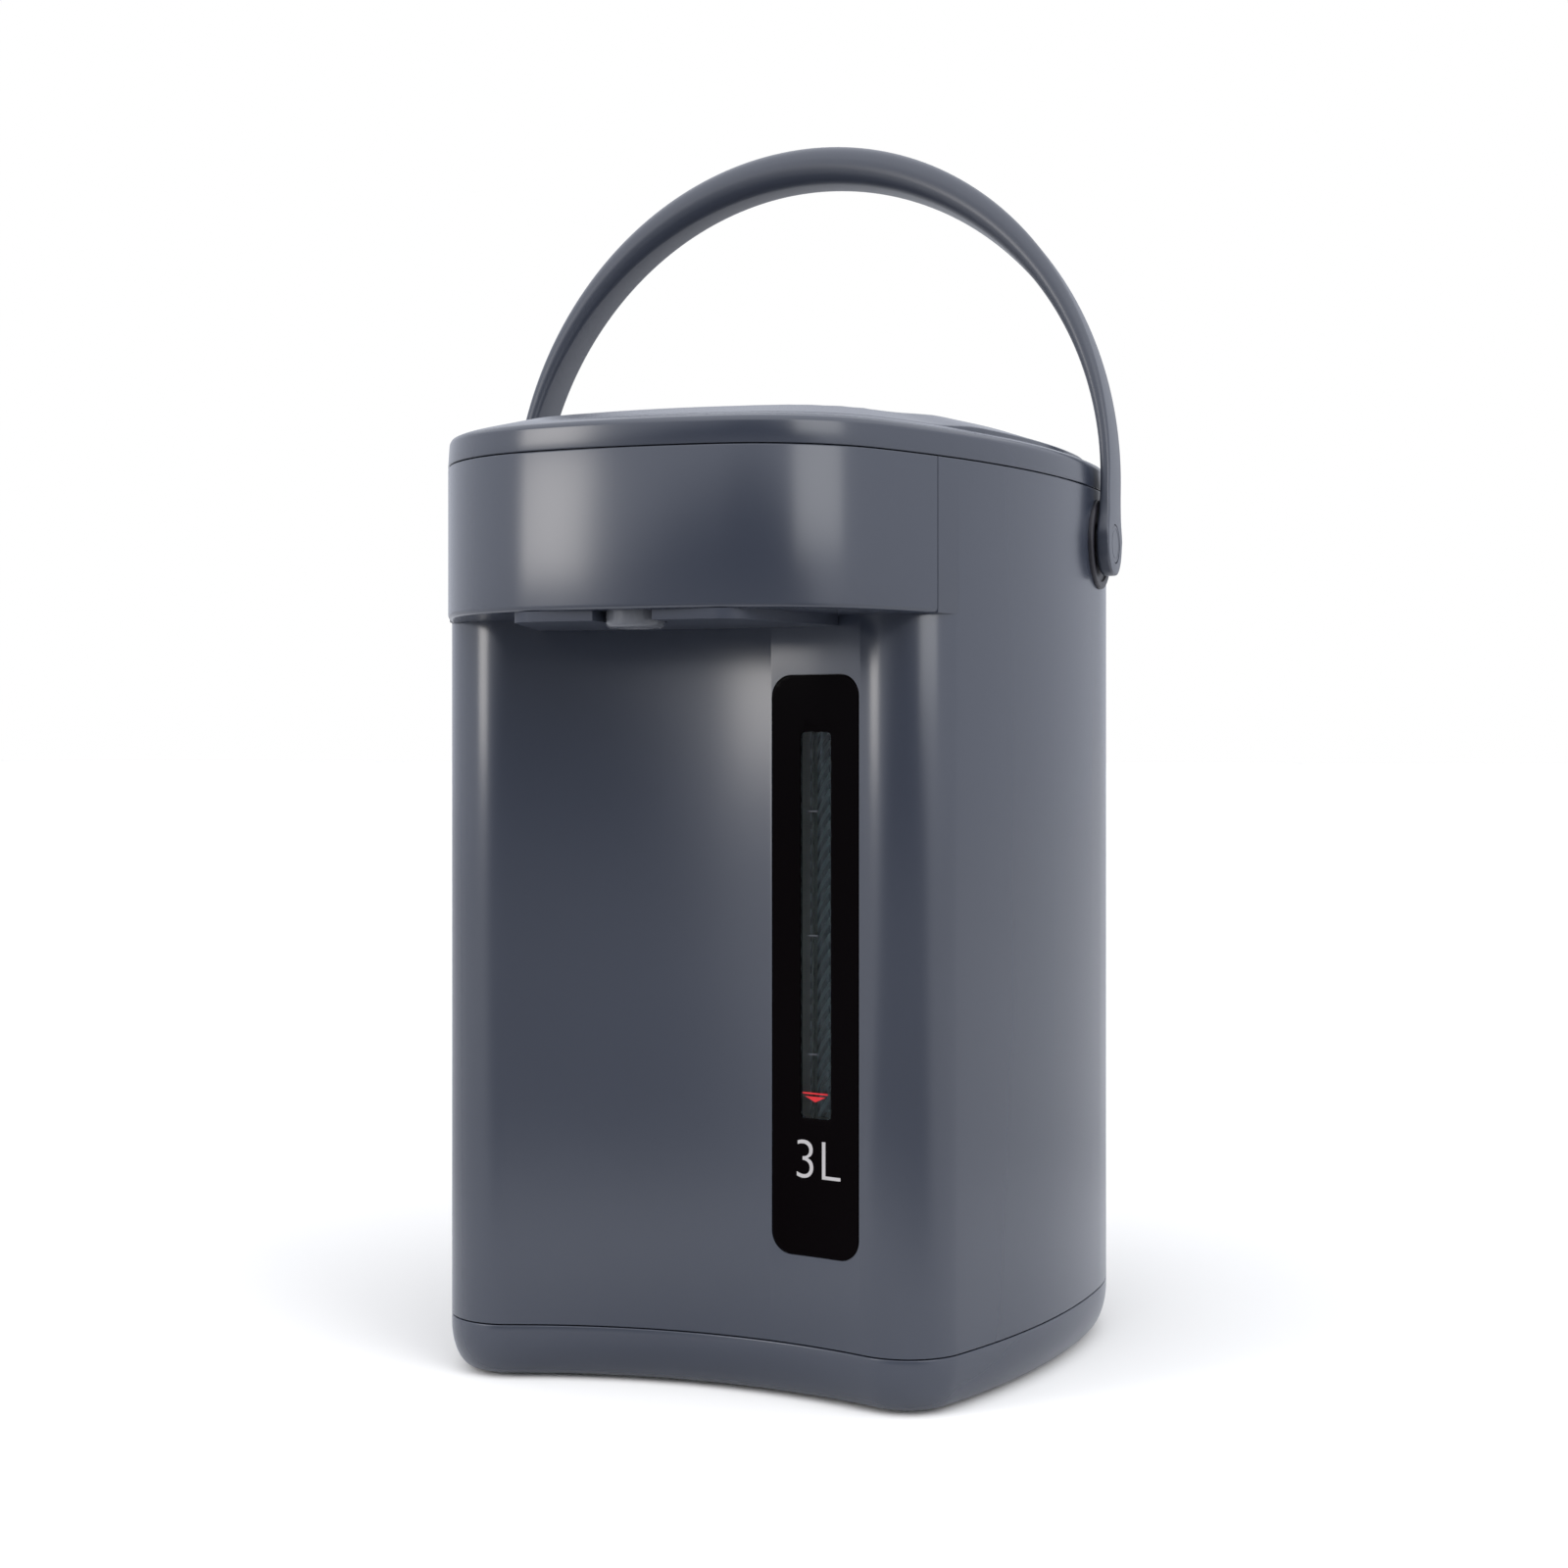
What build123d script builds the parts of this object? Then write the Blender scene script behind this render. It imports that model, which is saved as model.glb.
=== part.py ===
from build123d import *
import math
import os

# Electric thermo pot, in millimetres, +Z up, front towards -Y, standing on Z = 0.
# The round water container stands on a vertical axis at Y = axis_y. Plan sizes are measured
# from that axis, and the origin is the middle of the footprint.

os.makedirs("parts", exist_ok=True)

# ---- Driving dimensions -------------------------------------------------------------------

# Plan of the body
rear_radius = 103.0  # round back, also half the greatest width
side_radius = 270.0  # long flat curve of each flank
hollow_depth = 102.0  # axis to the middle of the hollow front
hollow_radius = 167.0  # curve of the hollow front
hollow_corner = 20.0  # rounding between hollow front and flank
beak_reach = 160.5  # axis to the front of the overhanging beak
beak_radius = 193.0  # bow of the beak's front
beak_corner = 54.0  # rounding between beak front and flank

# Heights
foot_height = 1.5
skirt_bottom = 3.0
skirt_top = 18.0
body_top = 282.0  # joint between the body and the top frame
beak_height = 46.0
rim_height = 7.2  # upright side of the rim above that joint
deck_height = 14.8  # flat of the deck above that joint

# Walls and clearances
wall = 2.5
seam = 0.4  # visible joint line between two casings
fit_gap = 0.2  # between fixed pieces that slip together
slip_gap = 0.1  # between fixed pieces that slip together closely
glue_gap = 0.05  # between pieces glued or clamped together
pin_gap = 0.02  # radial clearance of a pin fixed in its hole
run_gap = 0.3  # between pieces that move past each other
bore_gap = 0.06  # radial clearance of a turning pin
fillet_small = 1.5
parting_gap = 8.0  # hollow front's middle to the joint line between shell and beak cover

# Base
tuck_in = 8.5  # how far the skirt curves in at its foot
tuck_height = 14.0
tuck_steps = 6
plate_inset = 9.0
plate_spigot = 2.5
lip_height = 5.0
lip_wall = 1.6
foot_radius = 8.0
foot_recess = 0.8
foot_chamfer = 0.5
rear_foot_x = 62.0
rear_foot_y = 45.0
front_foot_x = 56.0
front_foot_back = 28.0  # hollow front's middle to a foot's axis
screw_radius = 1.6
screw_head = 3.2
screw_head_height = 1.8
rear_boss_inset = 21.0
rear_boss_y = 24.0
front_boss_inset = 41.0
front_boss_back = 15.0  # hollow front's middle to a boss's axis
boss_radius = 5.0
boss_web = 4.0
web_low = 12.0

# Rim, deck and lid opening
rim_round = 2.0
crown_run = 20.0  # slope from the rim's upright side in to the flat of the deck
crown_front = 12.0  # so much longer is that slope at the front
rim_width = 6.5
groove = 0.7
frame_floor = 2.5
floor_rise = 2.5  # rim's lower edge to the frame's floor
deck_wall = 2.0
deck_roof = 2.5
deck_posts = [(66.0, -62.0), (-66.0, -62.0), (60.0, 56.0), (-60.0, 56.0)]
mouth_radius = 60.0
flange_width = 7.0
collar_height = 20.7  # container's flange to the frame's floor
collar_gap = 4.5  # mouth to collar, room for the seal's swing
collar_wall = 5.5
support_height = 5.0

# Container, heater and jacket
case_gap = 9.5  # insulation jacket to the shell's round back
front_gap = 8.5  # insulation jacket to the shell's hollow front
container_wall = 0.8
container_corner = 8.0
neck_height = 12.0
shoulder_height = 14.0
shoulder_round = 6.0
heater_wall = 2.0
heater_rise = 8.0  # container's bottom to the heater band
heater_height = 32.0
jacket_gap = 2.3
jacket_wall = 4.7
jacket_drop = 6.0  # jacket's top below the container's shoulder
post_radius = 5.0
post_ring = 68.0  # container's axis to a post's axis
post_angles = [200.0, 320.0, 80.0]
thermostat_x = -36.0
thermostat_y = -20.0
thermostat_flange = 8.0
thermostat_body = 6.0
thermostat_flange_height = 3.0
thermostat_body_height = 5.0
blade_spacing = 8.0
blade_width = 5.0
blade_thick = 1.0
blade_length = 7.0
fuse_radius = 3.0
fuse_length = 16.0
fuse_lead_radius = 0.75
fuse_y = 20.0
band_split = 8.0

# Water path
gauge_x = 40.8  # centre of the gauge, and of the riser tube
tube_stand = 9.3  # hollow front's inner face to tube axis
tube_radius = 5.0
tube_bore = 4.0
tube_rise = 18.5  # pump's outlet to the tube's lower end
tube_overrun = 11.5  # gauge slot's top to the tube's upper end
hose_wall = 2.4
sleeve_overlap = 8.0
elbow_bend = 11.0
pump_radius = 19.0
pump_height = 14.0
pump_wall = 1.5
volute_offset = 13.0
pump_back = 44.917  # riser tube's axis to the pump's axis
port_drop = 7.5  # top of the pump housing to the outlet port's axis
port_length = 34.0
impeller_radius = 15.0
impeller_disc = 2.5
vane_height = 3.6
vane_wall = 1.4
vane_length = 10.5
vane_ring = 9.0  # axis to the middle of a vane
vanes = 6
impeller_hub = 3.6
spindle_radius = 1.5
motor_radius = 14.0
motor_height = 20.0
motor_boss = 1.5
rotor_gap = 2.5  # motor can to the drive magnet
sleeve_length = 13.0  # pump to the container's bottom
shaft_radius = 1.0
magnet_radius = 9.0
magnet_height = 3.0
air_gap = 0.5
duct_rise = 21.0  # beak's lower face to the duct's axis
duct_bend = 11.0
valve_radius = 9.0
valve_length = 20.0
valve_at = 0.42  # share of the level run where the valve starts
nozzle_y = -148.0
nozzle_radius = 8.5
nozzle_bore = 4.2
nozzle_drop = 6.0  # nozzle below the beak
nozzle_socket = 6.0

# Spout panel under the beak
spout_drop = 3.0
spout_rear_half = 51.0
spout_front_half = 35.0
spout_front_y = -153.0
spout_corner = 9.0
spout_round = 0.7
boss_wall = 1.2
boss_height = 8.0

# Water gauge
panel_width = 29.7
panel_low = 45.0
panel_drop = 17.5  # panel's top below the beak
panel_corner = 6.5
panel_depth = 1.3
panel_proud = 0.1
slot_width = 10.4
slot_low = 86.0
slot_drop = 16.0  # slot's top below the panel's top
slot_corner = 1.5
window_flange = 2.0
window_thick = 1.0
backing_width = 16.0
backing_thick = 1.2
backing_gap = 0.5

# Lid
lid_side = 0.8  # lid edge beyond the plug flange
lid_gap = 1.1  # room for the back of the lid to swing
lid_sink = 5.4  # lid's lower face below the deck's top
lid_height = 6.2
lid_roof = 2.4
lid_wall = 2.2
lid_round = 2.0
plug_wall = 2.2
plug_side = 0.5  # plug beyond the mouth
seal_out = 1.8  # seal beyond the mouth
seal_in = 4.0  # seal inside the mouth
seal_height = 3.7
plate_thick = 0.8
hinge_y = 82.0
hinge_sink = 5.8  # pin's axis below the deck's top
hinge_half = 30.0
hinge_pin_radius = 2.0
hinge_arm = 22.5  # pin to the front end of the lid's arm
knuckle_radius = 3.7
knuckle_back = 5.4
lug_width = 4.0
lug_half = 5.0
vent_y = 32.0
vent_radius = 13.8
vent_flange = 2.2
vent_slot = 2.2
vent_pitch = 5.5
vent_slot_length = 16.5
vent_slots = 3
vent_round = 0.8
steam_bore = 4.5
steam_wall = 1.5
latch_half = 15.5
latch_depth = 18.0
latch_travel = 4.0
latch_floor = 1.0
latch_rib = 1.3
finger_width = 21.7
finger_length = 9.0
finger_depth = 1.2
finger_corner = 2.0
spring_radius = 1.9
spring_wire = 0.25
spring_turns = 3.0

# Buttons and control board
panel_y = -99.0
overlay_width = 90.0
overlay_length = 40.0
overlay_corner = 9.0
overlay_thick = 0.8
overlay_recess = 0.6
main_button_length = 38.0
main_button_width = 17.0
side_button_radius = 7.5
side_button_x = 35.0
button_y = -104.0
button_gap = 0.3
button_proud = 0.9
button_flange = 1.2
button_travel = 1.2
control_margin = 3.0  # control board's edge within the overlay's
control_corner = 2.0
board_thick = 1.6
switch_size = 6.0
stem_radius = 2.0
switch_height = 2.0

# Bail handle
pivot_drop = 18.0  # pivot's axis below the body's top
bail_stand = 3.5  # flank to the middle of the bail's leg
bail_leg = 19.0  # straight part of each leg above the pivot
bail_rise = 116.9  # height of the arch above its legs
bail_lean = 5.8  # degrees that the raised bail leans back
leg_width = 18.9
leg_thick = 3.0
grip_width = 17.9
grip_thick = 13.3
arch_steps = 12
bail_rounding = 0.45  # corner as a share of the section's thinner side
hub_radius = 10.5
hub_thick = 4.2
pivot_radius = 4.0
head_radius = 5.5
head_thick = 0.9
cap_radius = 6.4
cap_thick = 0.8
rosette_radius = 14.5
rosette_rim = 2.2
rosette_boss = 7.2
rosette_recess = 0.8
rosette_depth = 4.8  # before the flank's curve trims it
barrel_radius = 9.0
barrel_length = 6.0

# Power inlet and boards
inlet_width = 48.0
inlet_height = 24.0
inlet_z = 38.0
inlet_depth = 22.0
inlet_corner = 4.0
socket_width = 38.0
socket_height = 14.0
socket_depth = 11.0
socket_corner = 4.6
pin_spacing = 9.0
pin_radius = 2.0
pin_length = 8.0
pin_chamfer = 0.6
magnet_x = 15.0
keeper_radius = 2.8
magnet_thick = 1.0
board_width = 74.0
board_length = 44.0
board_x = -6.0
board_y = 38.0
board_z = 12.0
board_margin = 4.0
capacitor_radius = 6.0
relay_width = 16.0
relay_length = 12.0
parts_height = 14.0
parts_x = -22.0
capacitor_y = -8.0
relay_y = 9.0
coil_x = 14.0
core_width = 30.0
core_length = 26.0
core_height = 20.0
winding_width = 20.0
winding_height = 14.0
winding_length = 34.0
lead_radius = 1.0
lead_bend = 6.0
lead_level = 36.0
heater_lead_angles = [150.0, 156.0]
heater_lead_x = -39.5
heater_lead_ys = [10.0, 5.0]
mains_lead_xs = [-12.0, -17.0]
mains_lead_y = 56.0

# ---- Derived places -----------------------------------------------------------------------

axis_y = (beak_reach - rear_radius) / 2
cutter = 4 * rear_radius  # longer than any piece is wide
side_shift = side_radius - rear_radius
beak_bottom = body_top - beak_height
rim_top = body_top + rim_height
deck_top = body_top + deck_height
pivot_z = body_top - pivot_drop
hinge_z = deck_top - hinge_sink
lid_bottom = deck_top - lid_sink
lid_top = lid_bottom + lid_height
panel_high = beak_bottom - panel_drop
slot_high = panel_high - slot_drop
nozzle_bottom = beak_bottom - nozzle_drop
duct_level = beak_bottom + duct_rise
shell_bottom = skirt_top + seam / 2
skirt_edge = skirt_top - seam / 2
shell_edge = body_top - seam / 2
rim_bottom = body_top + seam / 2
floor_low = rim_bottom + floor_rise
floor_top = floor_low + frame_floor
flange_top = floor_low - collar_height
plug_low = flange_top + run_gap + seal_height
shoulder_high = flange_top - neck_height
shoulder_low = shoulder_high - shoulder_height
jacket_high = shoulder_low - jacket_drop
collar_radius = mouth_radius + collar_gap
collar_outer = collar_radius + collar_wall
flange_radius = mouth_radius + flange_width
plug_flange = collar_radius + plug_wall + fit_gap
lid_radius = plug_flange + lid_side
deck_inset = rim_width + groove
hollow_centre = -(hollow_depth + hollow_radius)
tube_y = hollow_centre + math.sqrt((hollow_radius + wall + tube_stand) ** 2 - gauge_x**2)
pump_x = gauge_x - volute_offset
pump_y = tube_y + pump_back
parting_y = hollow_depth + parting_gap
plate_top = skirt_bottom + plate_spigot
motor_low = plate_top + motor_boss
motor_top = motor_low + motor_height
magnet_low = motor_top + rotor_gap
pump_floor = magnet_low + magnet_height + air_gap
pump_top = pump_floor + pump_height
port_z = pump_top - port_drop
tube_low = port_z + tube_rise
tube_high = slot_high + tube_overrun
container_bottom = pump_top + sleeve_length
heater_low = container_bottom + heater_rise
heater_high = heater_low + heater_height
jacket_outer = min(rear_radius - case_gap, hollow_depth - front_gap) - wall
jacket_inner = jacket_outer - jacket_wall
container_radius = jacket_inner - jacket_gap
base_bosses = [
    (side * (rear_radius - inset), y)
    for side in (1, -1)
    for inset, y in (
        (rear_boss_inset, rear_boss_y),
        (front_boss_inset, front_boss_back - hollow_depth),
    )
]
feet_at = [
    (side * x, y)
    for side in (1, -1)
    for x, y in ((rear_foot_x, rear_foot_y), (front_foot_x, front_foot_back - hollow_depth))
]
bail_half = rear_radius + bail_stand
spring_length = latch_travel + 2.0
latch_back = -(lid_radius - latch_depth)
board_top = board_z + board_thick
board_screws_x = board_width - 2 * board_margin
board_screws_y = board_length - 2 * board_margin

HOLLOW = (hollow_centre, hollow_radius, hollow_corner, 1)
BOWED = (beak_radius - beak_reach, beak_radius, beak_corner, -1)
CREST = (beak_radius - beak_reach + crown_front, beak_radius, beak_corner, -1)


def level(height):
    """Horizontal plane at a height, centred on the container's axis."""
    return Plane((0, axis_y, height))


def upright(x, y, z, facing):
    """Plane at a point given from the container's axis, whose normal is facing."""
    across = (0, 1, 0) if abs(facing[0]) > 0.5 else (1, 0, 0)
    return Plane((x, axis_y + y, z), x_dir=across, z_dir=facing)


def plan(front, inset=0.0):
    """Outline of the pot from above: round back, long flanks, hollow or bowed front."""
    centre_y, radius, corner, sense = front
    side_reach = side_radius - corner
    front_reach = radius + sense * corner
    span = math.hypot(side_shift, centre_y)
    along = (side_reach**2 - front_reach**2 + span**2) / (2 * span)
    off = math.sqrt(side_reach**2 - along**2)
    unit_x, unit_y = side_shift / span, centre_y / span
    # The corner's centre is the meeting point with the greater X.
    meets = [
        (along * unit_x - turn * off * unit_y, along * unit_y + turn * off * unit_x)
        for turn in (1, -1)
    ]
    corner_x, corner_y = max(meets)
    corner_x -= side_shift
    side_share = (side_radius - inset) / side_reach
    side_end = (-side_shift + (corner_x + side_shift) * side_share, corner_y * side_share)
    front_radius = radius + sense * inset
    front_share = front_radius / front_reach
    front_end = (corner_x * front_share, centre_y + (corner_y - centre_y) * front_share)
    nose = (0, centre_y + sense * front_radius)
    back_radius = rear_radius - inset
    with BuildSketch() as outline:
        with BuildLine():
            RadiusArc((0, back_radius), (back_radius, 0), back_radius)
            RadiusArc((back_radius, 0), side_end, side_radius - inset)
            RadiusArc(side_end, front_end, corner - inset)
            RadiusArc(front_end, nose, -sense * front_radius)
            mirror(about=Plane.YZ)
        make_face()
    return outline.sketch


def front_slab(width, low, high, corner, proud, depth):
    """Slab that follows the hollow front at the gauge, from proud of it to depth behind it."""
    with BuildPart() as slab:
        with BuildSketch(upright(gauge_x, -hollow_depth, (low + high) / 2, (0, -1, 0))):
            RectangleRounded(width, high - low, corner)
        extrude(amount=hollow_corner, both=True)
        with BuildSketch(level(low)):
            with Locations((0, hollow_centre)):
                Circle(hollow_radius + depth)
                Circle(hollow_radius - proud, mode=Mode.SUBTRACT)
        extrude(amount=high - low, mode=Mode.INTERSECT)
    return slab.part


def pipe(points, bend, radius, bore=0.0):
    """Round tube along a bent route, or a solid rod when it has no bore."""
    with BuildPart() as tube:
        with BuildLine() as route:
            FilletPolyline(*points, radius=bend)
        with BuildSketch(Plane(route.line @ 0, z_dir=route.line % 0)):
            Circle(radius)
            if bore:
                Circle(bore, mode=Mode.SUBTRACT)
        sweep()
    return tube.part


def save(part, name):
    """Name a finished piece and write it out."""
    part.label = name
    export_step(part, f"parts/{name}.step")


# ---- Casings ------------------------------------------------------------------------------

gauge_pocket = front_slab(
    panel_width + 2 * fit_gap,
    panel_low - fit_gap,
    panel_high + fit_gap,
    panel_corner + fit_gap,
    wall,
    panel_depth,
)
gauge_opening = front_slab(
    slot_width + 2 * (window_flange + fit_gap),
    slot_low - window_flange - fit_gap,
    slot_high + window_flange + fit_gap,
    slot_corner + window_flange,
    0,
    2 * wall,
)

with BuildPart() as outer_shell:
    with BuildSketch(level(shell_bottom)):
        add(plan(HOLLOW))
    extrude(amount=shell_edge - shell_bottom)
    with BuildSketch(level(beak_bottom)):
        add(plan(BOWED))
        with Locations((0, -parting_y)):
            Rectangle(
                cutter, cutter, align=(Align.CENTER, Align.MIN), mode=Mode.INTERSECT
            )
    extrude(amount=shell_edge - beak_bottom)
    with BuildSketch(level(shell_bottom)):
        add(plan(HOLLOW, wall))
    extrude(amount=shell_edge - shell_bottom, mode=Mode.SUBTRACT)
    with BuildSketch(level(beak_bottom + wall)):
        add(plan(BOWED, wall))
    extrude(amount=shell_edge - beak_bottom - wall, mode=Mode.SUBTRACT)
    add(gauge_pocket, mode=Mode.SUBTRACT)
    add(gauge_opening, mode=Mode.SUBTRACT)
    # Holes for the bail's bushes, one on each flank
    with BuildSketch(upright(0, 0, pivot_z, (1, 0, 0))):
        Circle(barrel_radius + fit_gap)
    extrude(amount=cutter, both=True, mode=Mode.SUBTRACT)
    # Opening for the power inlet at the back
    with BuildSketch(upright(0, 0, inlet_z, (0, 1, 0))):
        RectangleRounded(inlet_width + 2 * fit_gap, inlet_height + 2 * fit_gap, inlet_corner)
    extrude(amount=cutter, mode=Mode.SUBTRACT)
save(outer_shell.part, "outer_shell")

with BuildPart() as head_cover:
    with BuildSketch(level(beak_bottom)):
        add(plan(BOWED))
    extrude(amount=shell_edge - beak_bottom)
    fillet(head_cover.edges().group_by(Axis.Z)[0], radius=fillet_small)
    with BuildSketch(level(beak_bottom)):
        with Locations((0, -parting_y - seam)):
            Rectangle(cutter, cutter, align=(Align.CENTER, Align.MIN))
    extrude(amount=shell_edge - beak_bottom, mode=Mode.SUBTRACT)
    with BuildSketch(level(beak_bottom + wall)):
        add(plan(BOWED, wall))
    extrude(amount=shell_edge - beak_bottom - wall, mode=Mode.SUBTRACT)
    # The floor is cut back around the body's corners
    with BuildSketch(level(beak_bottom)):
        add(plan(HOLLOW, -seam))
    extrude(amount=wall, mode=Mode.SUBTRACT)
    # Way through for the nozzle's boss
    with BuildSketch(level(beak_bottom)):
        with Locations((0, nozzle_y)):
            Circle(nozzle_radius + boss_wall + fit_gap)
    extrude(amount=wall, mode=Mode.SUBTRACT)
save(head_cover.part, "head_cover")

with BuildPart() as spout_panel:
    with BuildSketch(level(beak_bottom - spout_drop)) as spout_outline:
        with BuildLine():
            Polyline(
                (-spout_rear_half, -hollow_depth),
                (spout_rear_half, -hollow_depth),
                (spout_front_half, spout_front_y),
                (-spout_front_half, spout_front_y),
                close=True,
            )
        make_face()
        fillet(spout_outline.vertices().group_by(Axis.Y)[0], radius=spout_corner)
        with Locations((0, hollow_centre)):
            Circle(hollow_radius - seam, mode=Mode.INTERSECT)
    extrude(amount=spout_drop)
    fillet(spout_panel.edges().group_by(Axis.Z)[0], radius=spout_round)
    with BuildSketch(level(beak_bottom - spout_drop)):
        with Locations((0, nozzle_y)):
            Circle(nozzle_radius + boss_wall)
    extrude(amount=boss_height + spout_drop)
    with BuildSketch(level(beak_bottom - spout_drop)):
        with Locations((0, nozzle_y)):
            Circle(nozzle_radius + glue_gap)
    extrude(amount=boss_height + spout_drop, mode=Mode.SUBTRACT)
save(spout_panel.part, "spout_panel")

with BuildPart() as nozzle:
    with BuildSketch(level(nozzle_bottom)):
        with Locations((0, nozzle_y)):
            Circle(nozzle_radius)
    extrude(amount=beak_bottom + boss_height - nozzle_bottom)
    fillet(nozzle.edges().group_by(Axis.Z)[0], radius=fillet_small)
    # A collar on top keeps the nozzle from dropping out of its boss
    with BuildSketch(level(beak_bottom + boss_height)):
        with Locations((0, nozzle_y)):
            Circle(nozzle_radius + boss_wall / 2)
    extrude(amount=fillet_small)
    with BuildSketch(level(nozzle_bottom)):
        with Locations((0, nozzle_y)):
            Circle(nozzle_bore)
    extrude(amount=beak_bottom + boss_height + fillet_small - nozzle_bottom, mode=Mode.SUBTRACT)
    with BuildSketch(level(beak_bottom + boss_height + fillet_small)):
        with Locations((0, nozzle_y)):
            Circle(tube_radius + glue_gap)
    extrude(amount=-nozzle_socket, mode=Mode.SUBTRACT)
save(nozzle.part, "nozzle")


def tucked(step, extra):
    """Height and inset of the skirt's curved foot, from its bottom edge (step 0) upwards."""
    turn = math.radians(90 * step / tuck_steps)
    height = skirt_bottom + tuck_height * (1 - math.cos(turn))
    return height, tuck_in * (1 - math.sin(turn)) + extra


with BuildPart() as base_skirt:
    for step in range(tuck_steps + 1):
        foot_level, foot_inset = tucked(step, 0)
        with BuildSketch(level(foot_level)):
            add(plan(HOLLOW, foot_inset))
    loft()
    with BuildSketch(level(skirt_bottom + tuck_height)):
        add(plan(HOLLOW))
    extrude(amount=skirt_edge - skirt_bottom - tuck_height)
    # Locating lip inside the shell
    with BuildSketch(level(skirt_edge)):
        add(plan(HOLLOW, wall + fit_gap))
    extrude(amount=lip_height)
    for step in range(tuck_steps + 1):
        foot_level, foot_inset = tucked(step, wall)
        with BuildSketch(level(foot_level)):
            add(plan(HOLLOW, foot_inset))
    loft(mode=Mode.SUBTRACT)
    with BuildSketch(level(skirt_bottom + tuck_height)):
        add(plan(HOLLOW, wall + fit_gap + lip_wall))
    extrude(amount=skirt_edge + lip_height - skirt_bottom - tuck_height, mode=Mode.SUBTRACT)
    # Screw bosses, each tied to the wall by a web
    with BuildSketch(level(plate_top)):
        with Locations(base_bosses):
            Circle(boss_radius)
    extrude(amount=skirt_edge - plate_top)
    with BuildSketch(level(web_low)):
        for x, y in base_bosses:
            outward = math.degrees(math.atan2(y, x))
            with Locations(Location((x, y, 0), outward)):
                Rectangle(rear_radius, boss_web, align=(Align.MIN, Align.CENTER))
        add(plan(HOLLOW, wall), mode=Mode.INTERSECT)
    extrude(amount=skirt_edge - web_low)
    with BuildSketch(level(plate_top)):
        with Locations(base_bosses):
            Circle(screw_radius + pin_gap)
    extrude(amount=skirt_edge - plate_top, mode=Mode.SUBTRACT)
save(base_skirt.part, "base_skirt")

with BuildPart() as base_plate:
    with BuildSketch(level(foot_height)):
        add(plan(HOLLOW, plate_inset))
    extrude(amount=skirt_bottom - foot_height)
    with BuildSketch(level(skirt_bottom)):
        add(plan(HOLLOW, tuck_in + wall + fit_gap))
    extrude(amount=plate_spigot)
    # Posts that carry the container
    with BuildSketch(level(plate_top)):
        for angle in post_angles:
            with Locations(Vector(post_ring, 0).rotate(Axis.Z, angle)):
                Circle(post_radius)
    extrude(amount=container_bottom - plate_top)
    # Pads under the power board
    with BuildSketch(level(plate_top)):
        with Locations((board_x, board_y)):
            with GridLocations(board_screws_x, board_screws_y, 2, 2):
                Circle(screw_head)
    extrude(amount=board_z - plate_top)
    # Seats for the rubber feet
    with BuildSketch(level(foot_height)):
        with Locations(feet_at):
            Circle(foot_radius + slip_gap)
    extrude(amount=foot_recess, mode=Mode.SUBTRACT)
    # Seats and holes of the base screws
    with BuildSketch(level(foot_height)):
        with Locations(base_bosses):
            Circle(screw_head + fit_gap)
    extrude(amount=screw_head_height + fit_gap, mode=Mode.SUBTRACT)
    with BuildSketch(level(foot_height)):
        with Locations(base_bosses):
            Circle(screw_radius + fit_gap)
    extrude(amount=plate_top - foot_height, mode=Mode.SUBTRACT)
save(base_plate.part, "base_plate")

with BuildPart() as rubber_feet:
    with BuildSketch(level(0)):
        with Locations(feet_at):
            Circle(foot_radius)
    extrude(amount=foot_height + foot_recess)
    chamfer(rubber_feet.edges().group_by(Axis.Z)[0], length=foot_chamfer)
save(rubber_feet.part, "rubber_feet")

# ---- Top frame and deck -------------------------------------------------------------------

button_places = [(-side_button_x, button_y), (side_button_x, button_y)]

# Whole form of the top, which slopes from the rim up to the flat of the deck
with BuildPart() as crown:
    with BuildSketch(level(rim_bottom)):
        add(plan(BOWED))
    extrude(amount=rim_top - rim_bottom)
    with BuildSketch(level(rim_top)):
        add(plan(BOWED))
    with BuildSketch(level(deck_top)):
        add(plan(CREST, crown_run))
    loft(ruled=True)
    fillet(
        crown.edges().filter_by_position(Axis.Z, rim_top - fit_gap, rim_top + fit_gap),
        radius=rim_round,
    )

with BuildPart() as top_frame:
    add(crown.part)
    with BuildSketch(level(floor_top)):
        add(plan(BOWED, rim_width))
    extrude(amount=deck_top - floor_top, mode=Mode.SUBTRACT)
    with BuildSketch(level(rim_bottom)):
        add(plan(BOWED, wall))
    extrude(amount=floor_low - rim_bottom, mode=Mode.SUBTRACT)
    # Locating lip inside shell and beak cover
    with BuildSketch(level(floor_low)):
        add(plan(BOWED, wall + fit_gap))
        add(plan(BOWED, wall + fit_gap + lip_wall), mode=Mode.SUBTRACT)
    extrude(amount=-(floor_low - rim_bottom + lip_height))
    # Way in to the container
    with BuildSketch(level(floor_low)):
        Circle(collar_radius)
    extrude(amount=frame_floor, mode=Mode.SUBTRACT)
    # Clearance holes of the deck's screws
    with BuildSketch(level(floor_low)):
        with Locations(deck_posts):
            Circle(screw_radius + fit_gap)
    extrude(amount=frame_floor, mode=Mode.SUBTRACT)
    # Lugs for the lid's hinge pin
    for side in (1, -1):
        lug_x = side * (hinge_half + run_gap + lug_width / 2)
        with BuildSketch(level(floor_top)):
            with Locations((lug_x, hinge_y)):
                Rectangle(lug_width, 2 * lug_half)
        extrude(amount=deck_top - deck_roof - run_gap - floor_top)
    with BuildSketch(upright(0, hinge_y, hinge_z, (1, 0, 0))):
        Circle(hinge_pin_radius + pin_gap)
    extrude(amount=2 * hinge_half, both=True, mode=Mode.SUBTRACT)
save(top_frame.part, "top_frame")

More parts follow.
